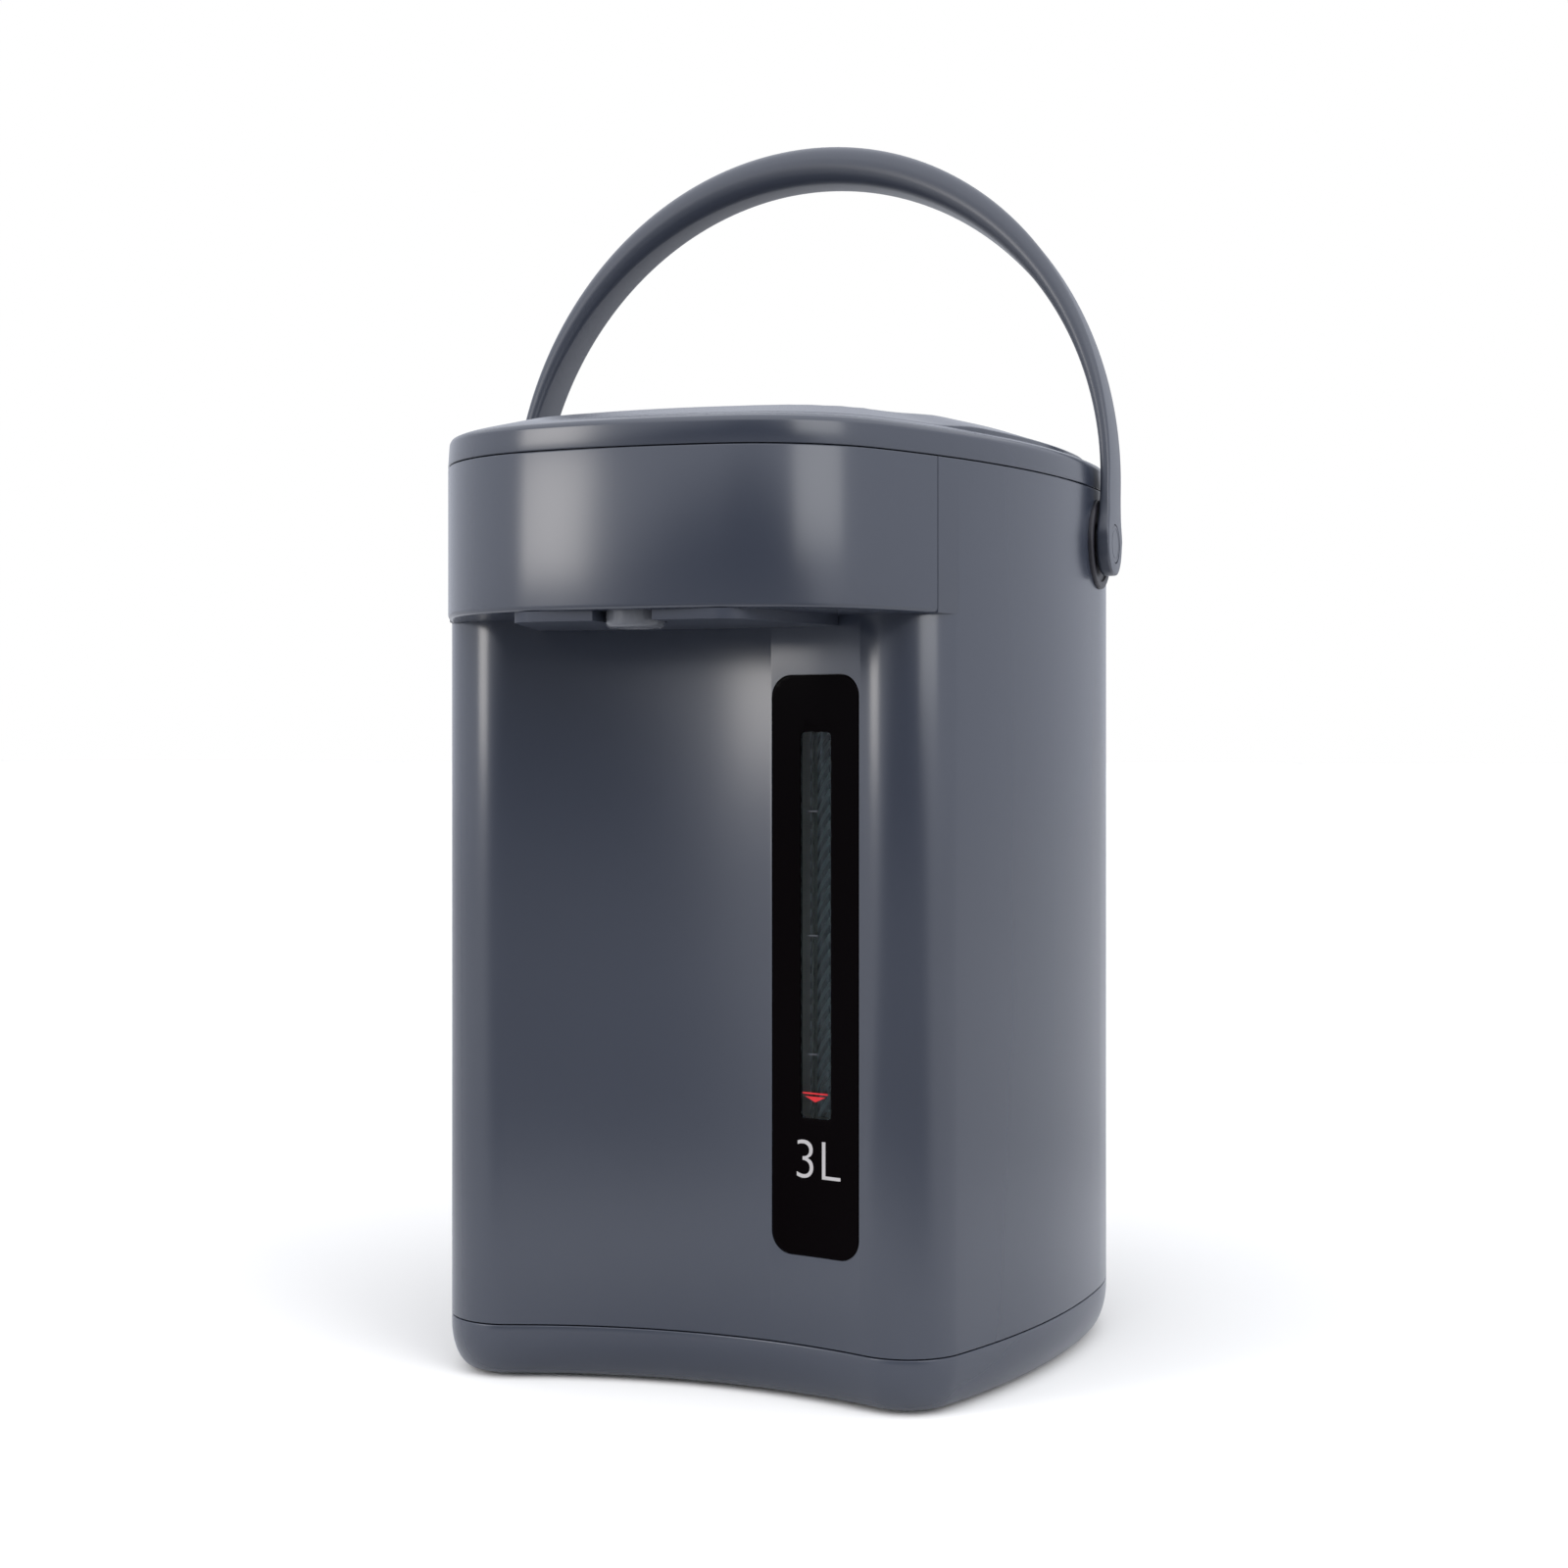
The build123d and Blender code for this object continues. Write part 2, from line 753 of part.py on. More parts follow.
# Room under the deck's roof
with BuildPart() as deck_room:
    add(crown.part.moved(Location((0, 0, -deck_roof))))
    with BuildSketch(level(floor_top)):
        add(plan(BOWED, deck_inset + deck_wall))
    extrude(amount=deck_top - floor_top, mode=Mode.INTERSECT)

with BuildPart() as top_deck:
    add(crown.part)
    with BuildSketch(level(floor_top)):
        add(plan(BOWED, deck_inset))
    extrude(amount=deck_top - floor_top, mode=Mode.INTERSECT)
    add(deck_room.part, mode=Mode.SUBTRACT)
    # Round wall about the lid, and posts for the deck's screws
    with BuildSketch(level(floor_top)):
        Circle(lid_radius + lid_gap + deck_wall)
        with Locations(deck_posts):
            Circle(screw_head + deck_wall / 2)
    extrude(amount=deck_top - deck_roof - floor_top)
    with BuildSketch(level(floor_top)):
        Circle(lid_radius + lid_gap)
        with Locations((0, hinge_y + lug_half + run_gap)):
            Rectangle(
                2 * (hinge_half + lug_width + 2 * run_gap),
                lid_radius / 2,
                align=(Align.CENTER, Align.MAX),
            )
    extrude(amount=deck_top - deck_roof - floor_top, mode=Mode.SUBTRACT)
    with BuildSketch(level(floor_top)):
        Circle(lid_radius + lid_gap)
        with Locations((0, hinge_y + knuckle_back + 2 * run_gap)):
            Rectangle(2 * (hinge_half + run_gap), lid_radius, align=(Align.CENTER, Align.MAX))
    extrude(amount=deck_top - floor_top, mode=Mode.SUBTRACT)
    # Recess of the control panel
    with BuildSketch(level(deck_top)):
        with Locations((0, panel_y)):
            RectangleRounded(
                overlay_width + 2 * fit_gap, overlay_length + 2 * fit_gap, overlay_corner
            )
    extrude(amount=-overlay_recess, mode=Mode.SUBTRACT)
    # Button holes
    with BuildSketch(level(deck_top)):
        with Locations(button_places):
            Circle(side_button_radius + button_gap)
        with Locations((0, button_y)):
            SlotOverall(main_button_length + 2 * button_gap, main_button_width + 2 * button_gap)
    extrude(amount=-deck_roof, mode=Mode.SUBTRACT)
    # Pilot holes of the deck's screws
    with BuildSketch(level(floor_top)):
        with Locations(deck_posts):
            Circle(screw_radius + pin_gap)
    extrude(amount=deck_top - deck_roof - floor_top, mode=Mode.SUBTRACT)
save(top_deck.part, "top_deck")

with BuildPart() as control_overlay:
    with BuildSketch(level(deck_top - overlay_recess)):
        with Locations((0, panel_y)):
            RectangleRounded(overlay_width, overlay_length, overlay_corner)
        with Locations(button_places):
            Circle(side_button_radius + button_gap, mode=Mode.SUBTRACT)
        with Locations((0, button_y)):
            SlotOverall(
                main_button_length + 2 * button_gap,
                main_button_width + 2 * button_gap,
                mode=Mode.SUBTRACT,
            )
    extrude(amount=overlay_thick)
save(control_overlay.part, "control_overlay")


def button(name, place, length, width):
    """A push button: domed key, a flange under the deck and a stem above its switch."""
    key_top = deck_top - overlay_recess + overlay_thick + button_proud
    flange_low = deck_top - deck_roof - run_gap - button_flange
    switch_top = floor_top + board_thick + switch_height
    with BuildPart() as key:
        with BuildSketch(level(flange_low)):
            with Locations(place):
                if length > width:
                    SlotOverall(length + button_flange, width + button_flange)
                else:
                    Circle(width / 2 + button_flange / 2 + button_gap)
        extrude(amount=button_flange)
        with BuildSketch(level(flange_low)):
            with Locations(place):
                if length > width:
                    SlotOverall(length, width)
                else:
                    Circle(width / 2)
        extrude(amount=key_top - flange_low)
        fillet(key.edges().group_by(Axis.Z)[-1], radius=button_proud)
        with BuildSketch(level(flange_low)):
            with Locations(place):
                Circle(stem_radius)
        extrude(amount=-(flange_low - switch_top - button_travel - run_gap))
    save(key.part, name)


button("dispense_button", (0, button_y), main_button_length, main_button_width)
button("unlock_button", button_places[0], 0, 2 * side_button_radius)
button("reboil_button", button_places[1], 0, 2 * side_button_radius)

with BuildPart() as control_board:
    with BuildSketch(level(floor_top)):
        with Locations((0, panel_y)):
            RectangleRounded(
                overlay_width - 2 * control_margin,
                overlay_length - 2 * control_margin,
                control_corner,
            )
    extrude(amount=board_thick)
save(control_board.part, "control_board")

with BuildPart() as tact_switches:
    with BuildSketch(level(floor_top + board_thick)):
        with Locations([*button_places, (0, button_y)]):
            Rectangle(switch_size, switch_size)
    extrude(amount=switch_height)
save(tact_switches.part, "tact_switches")

# ---- Container, support and heating -------------------------------------------------------

container_axis = Axis((0, axis_y, 0), (0, 0, 1))
section = upright(0, 0, 0, (0, -1, 0))


def vessel_profile(skin):
    """Half section of the container, outside when skin is 0, inside when it is the wall."""
    neck = mouth_radius + container_wall - skin
    return [
        (0, container_bottom + skin),
        (container_radius - skin, container_bottom + skin),
        (container_radius - skin, shoulder_low),
        (neck, shoulder_high),
        (neck, flange_top),
        (0, flange_top),
    ]


with BuildPart() as inner_container:
    with BuildSketch(section) as outside:
        with BuildLine():
            Polyline(*vessel_profile(0), close=True)
        make_face()
        fillet(outside.vertices().sort_by(Axis.X)[-2:].sort_by(Axis.Y)[0], container_corner)
        fillet(outside.vertices().group_by(Axis.X)[-1].sort_by(Axis.Y)[-1], shoulder_round)
    revolve(axis=container_axis)
    with BuildSketch(level(flange_top)):
        Circle(flange_radius)
    extrude(amount=-container_wall)
    # Outlet stub over the pump
    with BuildSketch(level(container_bottom)):
        with Locations((pump_x, pump_y)):
            Circle(tube_radius)
    extrude(amount=-sleeve_overlap / 2)
    with BuildSketch(section) as inside:
        with BuildLine():
            Polyline(*vessel_profile(container_wall), close=True)
        make_face()
        fillet(
            inside.vertices().sort_by(Axis.X)[-2:].sort_by(Axis.Y)[0],
            container_corner - container_wall,
        )
        fillet(
            inside.vertices().group_by(Axis.X)[-1].sort_by(Axis.Y)[-1],
            shoulder_round - container_wall,
        )
    revolve(axis=container_axis, mode=Mode.SUBTRACT)
    with BuildSketch(level(container_bottom + container_wall)):
        with Locations((pump_x, pump_y)):
            Circle(tube_bore)
    extrude(amount=-container_wall - sleeve_overlap / 2, mode=Mode.SUBTRACT)
save(inner_container.part, "inner_container")

with BuildPart() as mouth_collar:
    with BuildSketch(level(flange_top)):
        Circle(collar_outer)
        Circle(collar_radius, mode=Mode.SUBTRACT)
    extrude(amount=floor_low - flange_top)
save(mouth_collar.part, "mouth_collar")

with BuildPart() as support_ring:
    with BuildSketch(level(flange_top - container_wall)):
        Circle(collar_outer)
        Circle(mouth_radius + container_wall + fit_gap, mode=Mode.SUBTRACT)
    extrude(amount=-support_height)
    # Rim that closes round the flange and meets the collar
    with BuildSketch(level(flange_top - container_wall)):
        Circle(collar_outer)
        Circle(flange_radius + fit_gap, mode=Mode.SUBTRACT)
    extrude(amount=container_wall)
save(support_ring.part, "support_ring")

with BuildPart() as heater_band:
    with BuildSketch(level(heater_low)):
        Circle(container_radius + heater_wall)
        Circle(container_radius + glue_gap, mode=Mode.SUBTRACT)
        with Locations(Vector(container_radius, 0).rotate(Axis.Z, 90)):
            Rectangle(band_split, band_split, mode=Mode.SUBTRACT)
    extrude(amount=heater_high - heater_low)
save(heater_band.part, "heater_band")

with BuildPart() as insulation_jacket:
    with BuildSketch(level(container_bottom + container_corner)):
        Circle(jacket_outer)
        Circle(jacket_inner, mode=Mode.SUBTRACT)
    extrude(amount=jacket_high - container_bottom - container_corner)
save(insulation_jacket.part, "insulation_jacket")

with BuildPart() as thermostat:
    with BuildSketch(level(container_bottom)):
        with Locations((thermostat_x, thermostat_y)):
            Circle(thermostat_flange)
    extrude(amount=-thermostat_flange_height)
    with BuildSketch(level(container_bottom)):
        with Locations((thermostat_x, thermostat_y)):
            Circle(thermostat_body)
    extrude(amount=-thermostat_flange_height - thermostat_body_height)
    with BuildSketch(level(container_bottom - thermostat_flange_height - thermostat_body_height)):
        with Locations((thermostat_x, thermostat_y)):
            with GridLocations(blade_spacing, 0, 2, 1):
                Rectangle(blade_thick, blade_width)
    extrude(amount=-blade_length)
save(thermostat.part, "thermostat")

with BuildPart() as thermal_fuse:
    with BuildSketch(upright(0, fuse_y, container_bottom - fuse_radius, (1, 0, 0))):
        Circle(fuse_radius)
    extrude(amount=fuse_length / 2, both=True)
    with BuildSketch(upright(0, fuse_y, container_bottom - fuse_radius, (1, 0, 0))):
        Circle(fuse_lead_radius)
    extrude(amount=fuse_length, both=True)
save(thermal_fuse.part, "thermal_fuse")

# ---- Pump and motor -----------------------------------------------------------------------

with BuildPart() as pump_housing:
    with BuildSketch(level(pump_floor)):
        with Locations((pump_x, pump_y)):
            Circle(pump_radius)
    extrude(amount=pump_height)
    # Inlet stub, and outlet port along the edge towards the front
    with BuildSketch(level(pump_top)):
        with Locations((pump_x, pump_y)):
            Circle(tube_radius)
    extrude(amount=sleeve_overlap / 2)
    with BuildSketch(upright(gauge_x, pump_y, port_z, (0, -1, 0))):
        Circle(tube_radius)
    extrude(amount=port_length)
    with BuildSketch(level(pump_floor + pump_wall)):
        with Locations((pump_x, pump_y)):
            Circle(pump_radius - pump_wall)
    extrude(amount=pump_height - 2 * pump_wall, mode=Mode.SUBTRACT)
    with BuildSketch(level(pump_top - pump_wall)):
        with Locations((pump_x, pump_y)):
            Circle(tube_bore)
    extrude(amount=pump_wall + sleeve_overlap / 2, mode=Mode.SUBTRACT)
    with BuildSketch(upright(gauge_x, pump_y, port_z, (0, -1, 0))):
        Circle(tube_bore)
    extrude(amount=port_length, mode=Mode.SUBTRACT)
save(pump_housing.part, "pump_housing")

impeller_low = pump_floor + pump_wall + air_gap

with BuildPart() as impeller_spindle:
    with BuildSketch(level(pump_floor + pump_wall)):
        with Locations((pump_x, pump_y)):
            Circle(spindle_radius)
    extrude(amount=air_gap + impeller_disc + vane_height)
save(impeller_spindle.part, "impeller_spindle")

with BuildPart() as impeller:
    with BuildSketch(level(impeller_low)):
        with Locations((pump_x, pump_y)):
            Circle(impeller_radius)
    extrude(amount=impeller_disc)
    with BuildSketch(level(impeller_low + impeller_disc)):
        with Locations((pump_x, pump_y)):
            Circle(impeller_hub)
            with PolarLocations(vane_ring, vanes):
                Rectangle(vane_length, vane_wall)
    extrude(amount=vane_height)
    with BuildSketch(level(impeller_low)):
        with Locations((pump_x, pump_y)):
            Circle(spindle_radius + bore_gap)
    extrude(amount=impeller_disc + vane_height, mode=Mode.SUBTRACT)
save(impeller.part, "impeller")

with BuildPart() as motor_can:
    with BuildSketch(level(motor_low)):
        with Locations((pump_x, pump_y)):
            Circle(motor_radius)
    extrude(amount=motor_height)
    fillet(motor_can.edges().group_by(Axis.Z)[-1], radius=fillet_small)
    with BuildSketch(level(motor_top)):
        with Locations((pump_x, pump_y)):
            Circle(shaft_radius + bore_gap)
    extrude(amount=-motor_height / 2, mode=Mode.SUBTRACT)
save(motor_can.part, "motor_can")

with BuildPart() as motor_cradle:
    with BuildSketch(level(plate_top)):
        with Locations((pump_x, pump_y)):
            Circle(motor_radius + wall)
    extrude(amount=motor_boss)
    # Ring and three arms that hold the can and carry the pump
    with BuildSketch(level(motor_low)):
        with Locations((pump_x, pump_y)):
            Circle(motor_radius + wall)
            Circle(motor_radius + glue_gap, mode=Mode.SUBTRACT)
    extrude(amount=pump_floor - motor_low)
save(motor_cradle.part, "motor_cradle")

with BuildPart() as motor_shaft:
    with BuildSketch(level(motor_top - motor_height / 2 + run_gap)):
        with Locations((pump_x, pump_y)):
            Circle(shaft_radius)
    extrude(amount=magnet_low - motor_top + motor_height / 2 - run_gap)
save(motor_shaft.part, "motor_shaft")

with BuildPart() as drive_magnet:
    with BuildSketch(level(magnet_low)):
        with Locations((pump_x, pump_y)):
            Circle(magnet_radius)
    extrude(amount=magnet_height)
save(drive_magnet.part, "drive_magnet")

# ---- Water path ---------------------------------------------------------------------------

hose_radius = tube_radius + hose_wall
hose_bore = tube_radius + glue_gap

with BuildPart() as suction_sleeve:
    with BuildSketch(level(pump_top)):
        with Locations((pump_x, pump_y)):
            Circle(hose_radius)
            Circle(hose_bore, mode=Mode.SUBTRACT)
    extrude(amount=container_bottom - pump_top)
save(suction_sleeve.part, "suction_sleeve")

port_end = pump_y - port_length
lower_elbow = pipe(
    [
        (gauge_x, axis_y + port_end + sleeve_overlap, port_z),
        (gauge_x, axis_y + tube_y, port_z),
        (gauge_x, axis_y + tube_y, tube_low + sleeve_overlap),
    ],
    elbow_bend,
    hose_radius,
    hose_bore,
)
save(lower_elbow, "lower_elbow")

with BuildPart() as gauge_tube:
    with BuildSketch(level(tube_low)):
        with Locations((gauge_x, tube_y)):
            Circle(tube_radius)
            Circle(tube_bore, mode=Mode.SUBTRACT)
    extrude(amount=tube_high - tube_low)
save(gauge_tube.part, "gauge_tube")

duct_run = math.hypot(gauge_x, nozzle_y - tube_y)
valve_start = valve_at * duct_run
valve_end = valve_start + valve_length
duct_x, duct_y = -gauge_x / duct_run, (nozzle_y - tube_y) / duct_run


def along_duct(distance):
    """Point of the level run above the beak's floor, counted from the riser's axis."""
    return (gauge_x + duct_x * distance, axis_y + tube_y + duct_y * distance, duct_level)


riser_hose = pipe(
    [
        (gauge_x, axis_y + tube_y, tube_high - sleeve_overlap),
        (gauge_x, axis_y + tube_y, duct_level),
        along_duct(valve_start + sleeve_overlap / 2),
    ],
    duct_bend,
    hose_radius,
    hose_bore,
)
save(riser_hose, "riser_hose")

with BuildPart() as anti_drip_valve:
    with BuildSketch(Plane(along_duct(valve_start), z_dir=(duct_x, duct_y, 0))):
        Circle(tube_radius)
    extrude(amount=valve_length)
    with BuildSketch(
        Plane(along_duct(valve_start + sleeve_overlap / 2 + fit_gap), z_dir=(duct_x, duct_y, 0))
    ):
        Circle(valve_radius)
    extrude(amount=valve_length - sleeve_overlap)
    with BuildSketch(Plane(along_duct(valve_start), z_dir=(duct_x, duct_y, 0))):
        Circle(tube_bore)
    extrude(amount=valve_length, mode=Mode.SUBTRACT)
save(anti_drip_valve.part, "anti_drip_valve")

spout_pipe = pipe(
    [
        along_duct(valve_end + fit_gap),
        (0, axis_y + nozzle_y, duct_level),
        (0, axis_y + nozzle_y, beak_bottom + boss_height + fillet_small - nozzle_socket),
    ],
    duct_bend,
    tube_radius,
    tube_bore,
)
save(spout_pipe, "spout_pipe")

# ---- Water gauge --------------------------------------------------------------------------

window_hole = front_slab(
    slot_width, slot_low, slot_high, slot_corner, wall, 2 * wall
)

with BuildPart() as gauge_panel:
    add(
        front_slab(
            panel_width,
            panel_low,
            panel_high,
            panel_corner,
            panel_proud,
            panel_depth - glue_gap,
        )
    )
    add(window_hole, mode=Mode.SUBTRACT)
save(gauge_panel.part, "gauge_panel")

with BuildPart() as gauge_window:
    add(
        front_slab(
            slot_width - slip_gap,
            slot_low + glue_gap,
            slot_high - glue_gap,
            slot_corner,
            0,
            panel_depth,
        )
    )
    add(
        front_slab(
            slot_width + 2 * window_flange,
            slot_low - window_flange,
            slot_high + window_flange,
            slot_corner + window_flange,
            -panel_depth,
            panel_depth + window_thick,
        )
    )
save(gauge_window.part, "gauge_window")

with BuildPart() as gauge_backing:
    with BuildSketch(level(slot_low - window_flange)):
        with Locations((0, hollow_centre)):
            Circle(hollow_radius + wall + tube_stand + tube_radius + backing_gap + backing_thick)
            Circle(
                hollow_radius + wall + tube_stand + tube_radius + backing_gap,
                mode=Mode.SUBTRACT,
            )
        with Locations((gauge_x, tube_y)):
            Rectangle(backing_width, 4 * tube_radius, mode=Mode.INTERSECT)
    extrude(amount=slot_high - slot_low + 2 * window_flange)
save(gauge_backing.part, "gauge_backing")

# ---- Lid ----------------------------------------------------------------------------------

block_half = latch_half + latch_rib + lid_wall
pocket_back = latch_back + spring_length

with BuildPart() as lid_cap:
    with BuildSketch(level(lid_bottom)):
        Circle(lid_radius)
    extrude(amount=lid_top - lid_bottom)
    fillet(lid_cap.edges().group_by(Axis.Z)[-1], radius=lid_round)
    with BuildSketch(level(lid_bottom)):
        Circle(lid_radius - lid_wall)
    extrude(amount=lid_top - lid_roof - lid_bottom, mode=Mode.SUBTRACT)
    # Block that guides the latch
    with BuildSketch(level(lid_bottom)):
        with Locations((0, pocket_back + lid_wall)):
            Rectangle(2 * block_half, 2 * lid_radius, align=(Align.CENTER, Align.MAX))
        Circle(lid_radius - lid_wall / 2, mode=Mode.INTERSECT)
    extrude(amount=lid_top - lid_roof - lid_bottom)
    # Arm that reaches back to the hinge pin
    with BuildSketch(upright(0, 0, 0, (1, 0, 0))):
        with Locations((hinge_y, hinge_z)):
            Circle(knuckle_radius)
        with Locations((hinge_y, lid_bottom)):
            Rectangle(
                hinge_arm,
                hinge_z + knuckle_back - lid_bottom,
                align=(Align.MAX, Align.MIN),
            )
        with BuildLine():
            CenterArc((hinge_y, hinge_z), knuckle_back, 0, 90)
            Line((hinge_y, hinge_z + knuckle_back), (hinge_y, hinge_z))
            Line((hinge_y, hinge_z), (hinge_y + knuckle_back, hinge_z))
        make_face()
    extrude(amount=hinge_half, both=True)
    with BuildSketch(upright(0, hinge_y, hinge_z, (1, 0, 0))):
        Circle(hinge_pin_radius + bore_gap)
    extrude(amount=2 * hinge_half, both=True, mode=Mode.SUBTRACT)
    # Latch pocket, open at the front, with a groove in each side
    with BuildSketch(level(lid_bottom + latch_floor)):
        with Locations((0, pocket_back)):
            Rectangle(
                2 * (latch_half + run_gap), 2 * lid_radius, align=(Align.CENTER, Align.MAX)
            )
    extrude(amount=lid_top - lid_bottom, mode=Mode.SUBTRACT)
    with BuildSketch(level(lid_bottom + latch_floor)):
        with Locations((0, pocket_back)):
            Rectangle(
                2 * (latch_half + latch_rib + run_gap),
                2 * lid_radius,
                align=(Align.CENTER, Align.MAX),
            )
    extrude(amount=latch_rib + 2 * run_gap, mode=Mode.SUBTRACT)
    # Hole of the steam vent
    with BuildSketch(level(lid_top)):
        with Locations((0, vent_y)):
            Circle(vent_radius + fit_gap)
    extrude(amount=-lid_roof, mode=Mode.SUBTRACT)
save(lid_cap.part, "lid_cap")

latch_low = lid_bottom + latch_floor + run_gap

with BuildPart() as latch_slider:
    with BuildSketch(level(latch_low)):
        Circle(lid_radius + lid_gap - run_gap)
        with Locations((0, latch_back)):
            Rectangle(
                2 * latch_half,
                2 * lid_radius,
                align=(Align.CENTER, Align.MAX),
                mode=Mode.INTERSECT,
            )
    extrude(amount=lid_top - run_gap - latch_low)
    # Ribs that run in the pocket's grooves
    with BuildSketch(level(latch_low)):
        Circle(lid_radius - lid_gap)
        with Locations((0, latch_back)):
            Rectangle(
                2 * (latch_half + latch_rib),
                2 * lid_radius,
                align=(Align.CENTER, Align.MAX),
                mode=Mode.INTERSECT,
            )
    extrude(amount=latch_rib)
    # Finger hollow
    with BuildSketch(level(lid_top - run_gap)):
        with Locations((0, latch_back - latch_depth / 2)):
            RectangleRounded(finger_width, finger_length, finger_corner)
    extrude(amount=-finger_depth, mode=Mode.SUBTRACT)
save(latch_slider.part, "latch_slider")

with BuildPart() as latch_spring:
    spring_z = (latch_low + lid_top) / 2
    spring_start = (0, axis_y + latch_back + spring_wire, spring_z)
    with BuildLine() as coil:
        Helix(
            pitch=(spring_length - 2 * spring_wire) / spring_turns,
            height=spring_length - 2 * spring_wire,
            radius=spring_radius,
            center=spring_start,
            direction=(0, 1, 0),
        )
    with BuildSketch(Plane(coil.line @ 0, z_dir=coil.line % 0)):
        Circle(spring_wire)
    sweep()
save(latch_spring.part, "latch_spring")

with BuildPart() as lid_plug:
    with BuildSketch(level(floor_top + run_gap)):
        Circle(plug_flange)
    extrude(amount=lid_bottom - floor_top - run_gap)
    with BuildSketch(level(plug_low)):
        Circle(mouth_radius + plug_side)
    extrude(amount=floor_top + run_gap - plug_low)
    with BuildSketch(level(plug_low + plug_wall)):
        Circle(mouth_radius + plug_side - plug_wall)
    extrude(amount=lid_bottom - plug_low - plug_wall, mode=Mode.SUBTRACT)
    with BuildSketch(level(plug_low)):
        with Locations((0, vent_y)):
            Circle(steam_bore + steam_wall + glue_gap)
    extrude(amount=lid_top - plug_low, mode=Mode.SUBTRACT)
    # Steam chimney up to the vent
    with BuildSketch(level(plug_low)):
        with Locations((0, vent_y)):
            Circle(steam_bore + steam_wall)
            Circle(steam_bore, mode=Mode.SUBTRACT)
    extrude(amount=lid_top - lid_roof - vent_flange / 2 - plug_low)
save(lid_plug.part, "lid_plug")

with BuildPart() as steam_vent:
    with BuildSketch(level(lid_top - lid_roof - vent_flange / 2)):
        with Locations((0, vent_y)):
            Circle(vent_radius + vent_flange)
            Circle(steam_bore, mode=Mode.SUBTRACT)
    extrude(amount=vent_flange / 2)
    with BuildSketch(level(lid_top - lid_roof)):
        with Locations((0, vent_y)):
            Circle(vent_radius)
    extrude(amount=lid_roof + run_gap)
    fillet(steam_vent.edges().group_by(Axis.Z)[-1], radius=vent_round)
    with BuildSketch(level(lid_top - lid_roof)):
        with Locations((0, vent_y)):
            with GridLocations(0, vent_pitch, 1, vent_slots):
                SlotOverall(vent_slot_length, vent_slot)
    extrude(amount=lid_roof + run_gap, mode=Mode.SUBTRACT)
save(steam_vent.part, "steam_vent")

with BuildPart() as lid_gasket:
    with BuildSketch(level(plug_low)):
        Circle(mouth_radius + seal_out)
        Circle(mouth_radius - seal_in, mode=Mode.SUBTRACT)
    extrude(amount=-(plug_low - flange_top - run_gap))
    fillet(lid_gasket.edges().group_by(Axis.Z)[0], radius=fillet_small / 2)
save(lid_gasket.part, "lid_gasket")

with BuildPart() as lid_plate:
    with BuildSketch(level(plug_low)):
        Circle(mouth_radius - seal_in - fit_gap)
        with Locations((0, vent_y)):
            Circle(steam_bore, mode=Mode.SUBTRACT)
    extrude(amount=-plate_thick)
save(lid_plate.part, "lid_plate")

with BuildPart() as hinge_pin:
    with BuildSketch(upright(0, hinge_y, hinge_z, (1, 0, 0))):
        Circle(hinge_pin_radius)
    extrude(amount=hinge_half + run_gap + lug_width, both=True)
save(hinge_pin.part, "hinge_pin")

# ---- Bail handle --------------------------------------------------------------------------

lean = math.radians(bail_lean)
bail_up = Vector(0, math.sin(lean), math.cos(lean))
bail_out = Vector(1, 0, 0)
bail_flat = Vector(0, math.cos(lean), -math.sin(lean))
pivot = Vector(0, axis_y, pivot_z)


def bail_section(height, x, tangent):
    """Plane across the bail, and the width and thickness of its rounded section there."""
    share = (height / (bail_leg + bail_rise)) ** 2
    width = leg_width + (grip_width - leg_width) * share
    thick = leg_thick + (grip_thick - leg_thick) * share
    place = Plane(pivot + bail_out * x + bail_up * height, x_dir=bail_flat, z_dir=tangent)
    return place, width, thick


stations = [bail_section(0, bail_half, bail_up)]
for step in range(arch_steps + 1):
    turn = math.pi * step / arch_steps
    height = bail_leg + bail_rise * math.sin(turn)
    tangent = bail_up * (bail_rise * math.cos(turn)) - bail_out * (bail_half * math.sin(turn))
    stations.append(bail_section(height, bail_half * math.cos(turn), tangent))
stations.append(bail_section(0, -bail_half, -bail_up))

with BuildPart() as bail_handle:
    for place, width, thick in stations:
        with BuildSketch(place):
            RectangleRounded(width, thick, min(width, thick) * bail_rounding)
    loft()
    for side in (1, -1):
        inner_face = side * (bail_half - hub_thick / 2)
        with BuildSketch(upright(inner_face, 0, pivot_z, (side, 0, 0))):
            Circle(hub_radius)
        extrude(amount=hub_thick)
        fillet(
            bail_handle.faces().sort_by(Axis.X)[-1 if side > 0 else 0].edges(),
            radius=fillet_small / 2,
        )
        with BuildSketch(upright(inner_face, 0, pivot_z, (side, 0, 0))):
            Circle(pivot_radius + bore_gap)
        extrude(amount=hub_thick, mode=Mode.SUBTRACT)
        recess_face = side * (bail_half + hub_thick / 2)
        with BuildSketch(upright(recess_face, 0, pivot_z, (side, 0, 0))):
            Circle(cap_radius + slip_gap)
        extrude(amount=-(head_thick + cap_thick + 2 * fit_gap), mode=Mode.SUBTRACT)
save(bail_handle.part, "bail_handle")

with BuildPart() as flank_form:
    with BuildSketch(level(pivot_z - 2 * rosette_radius)):
        add(plan(HOLLOW, -glue_gap))
    extrude(amount=4 * rosette_radius)

pin_inner = rear_radius - barrel_length

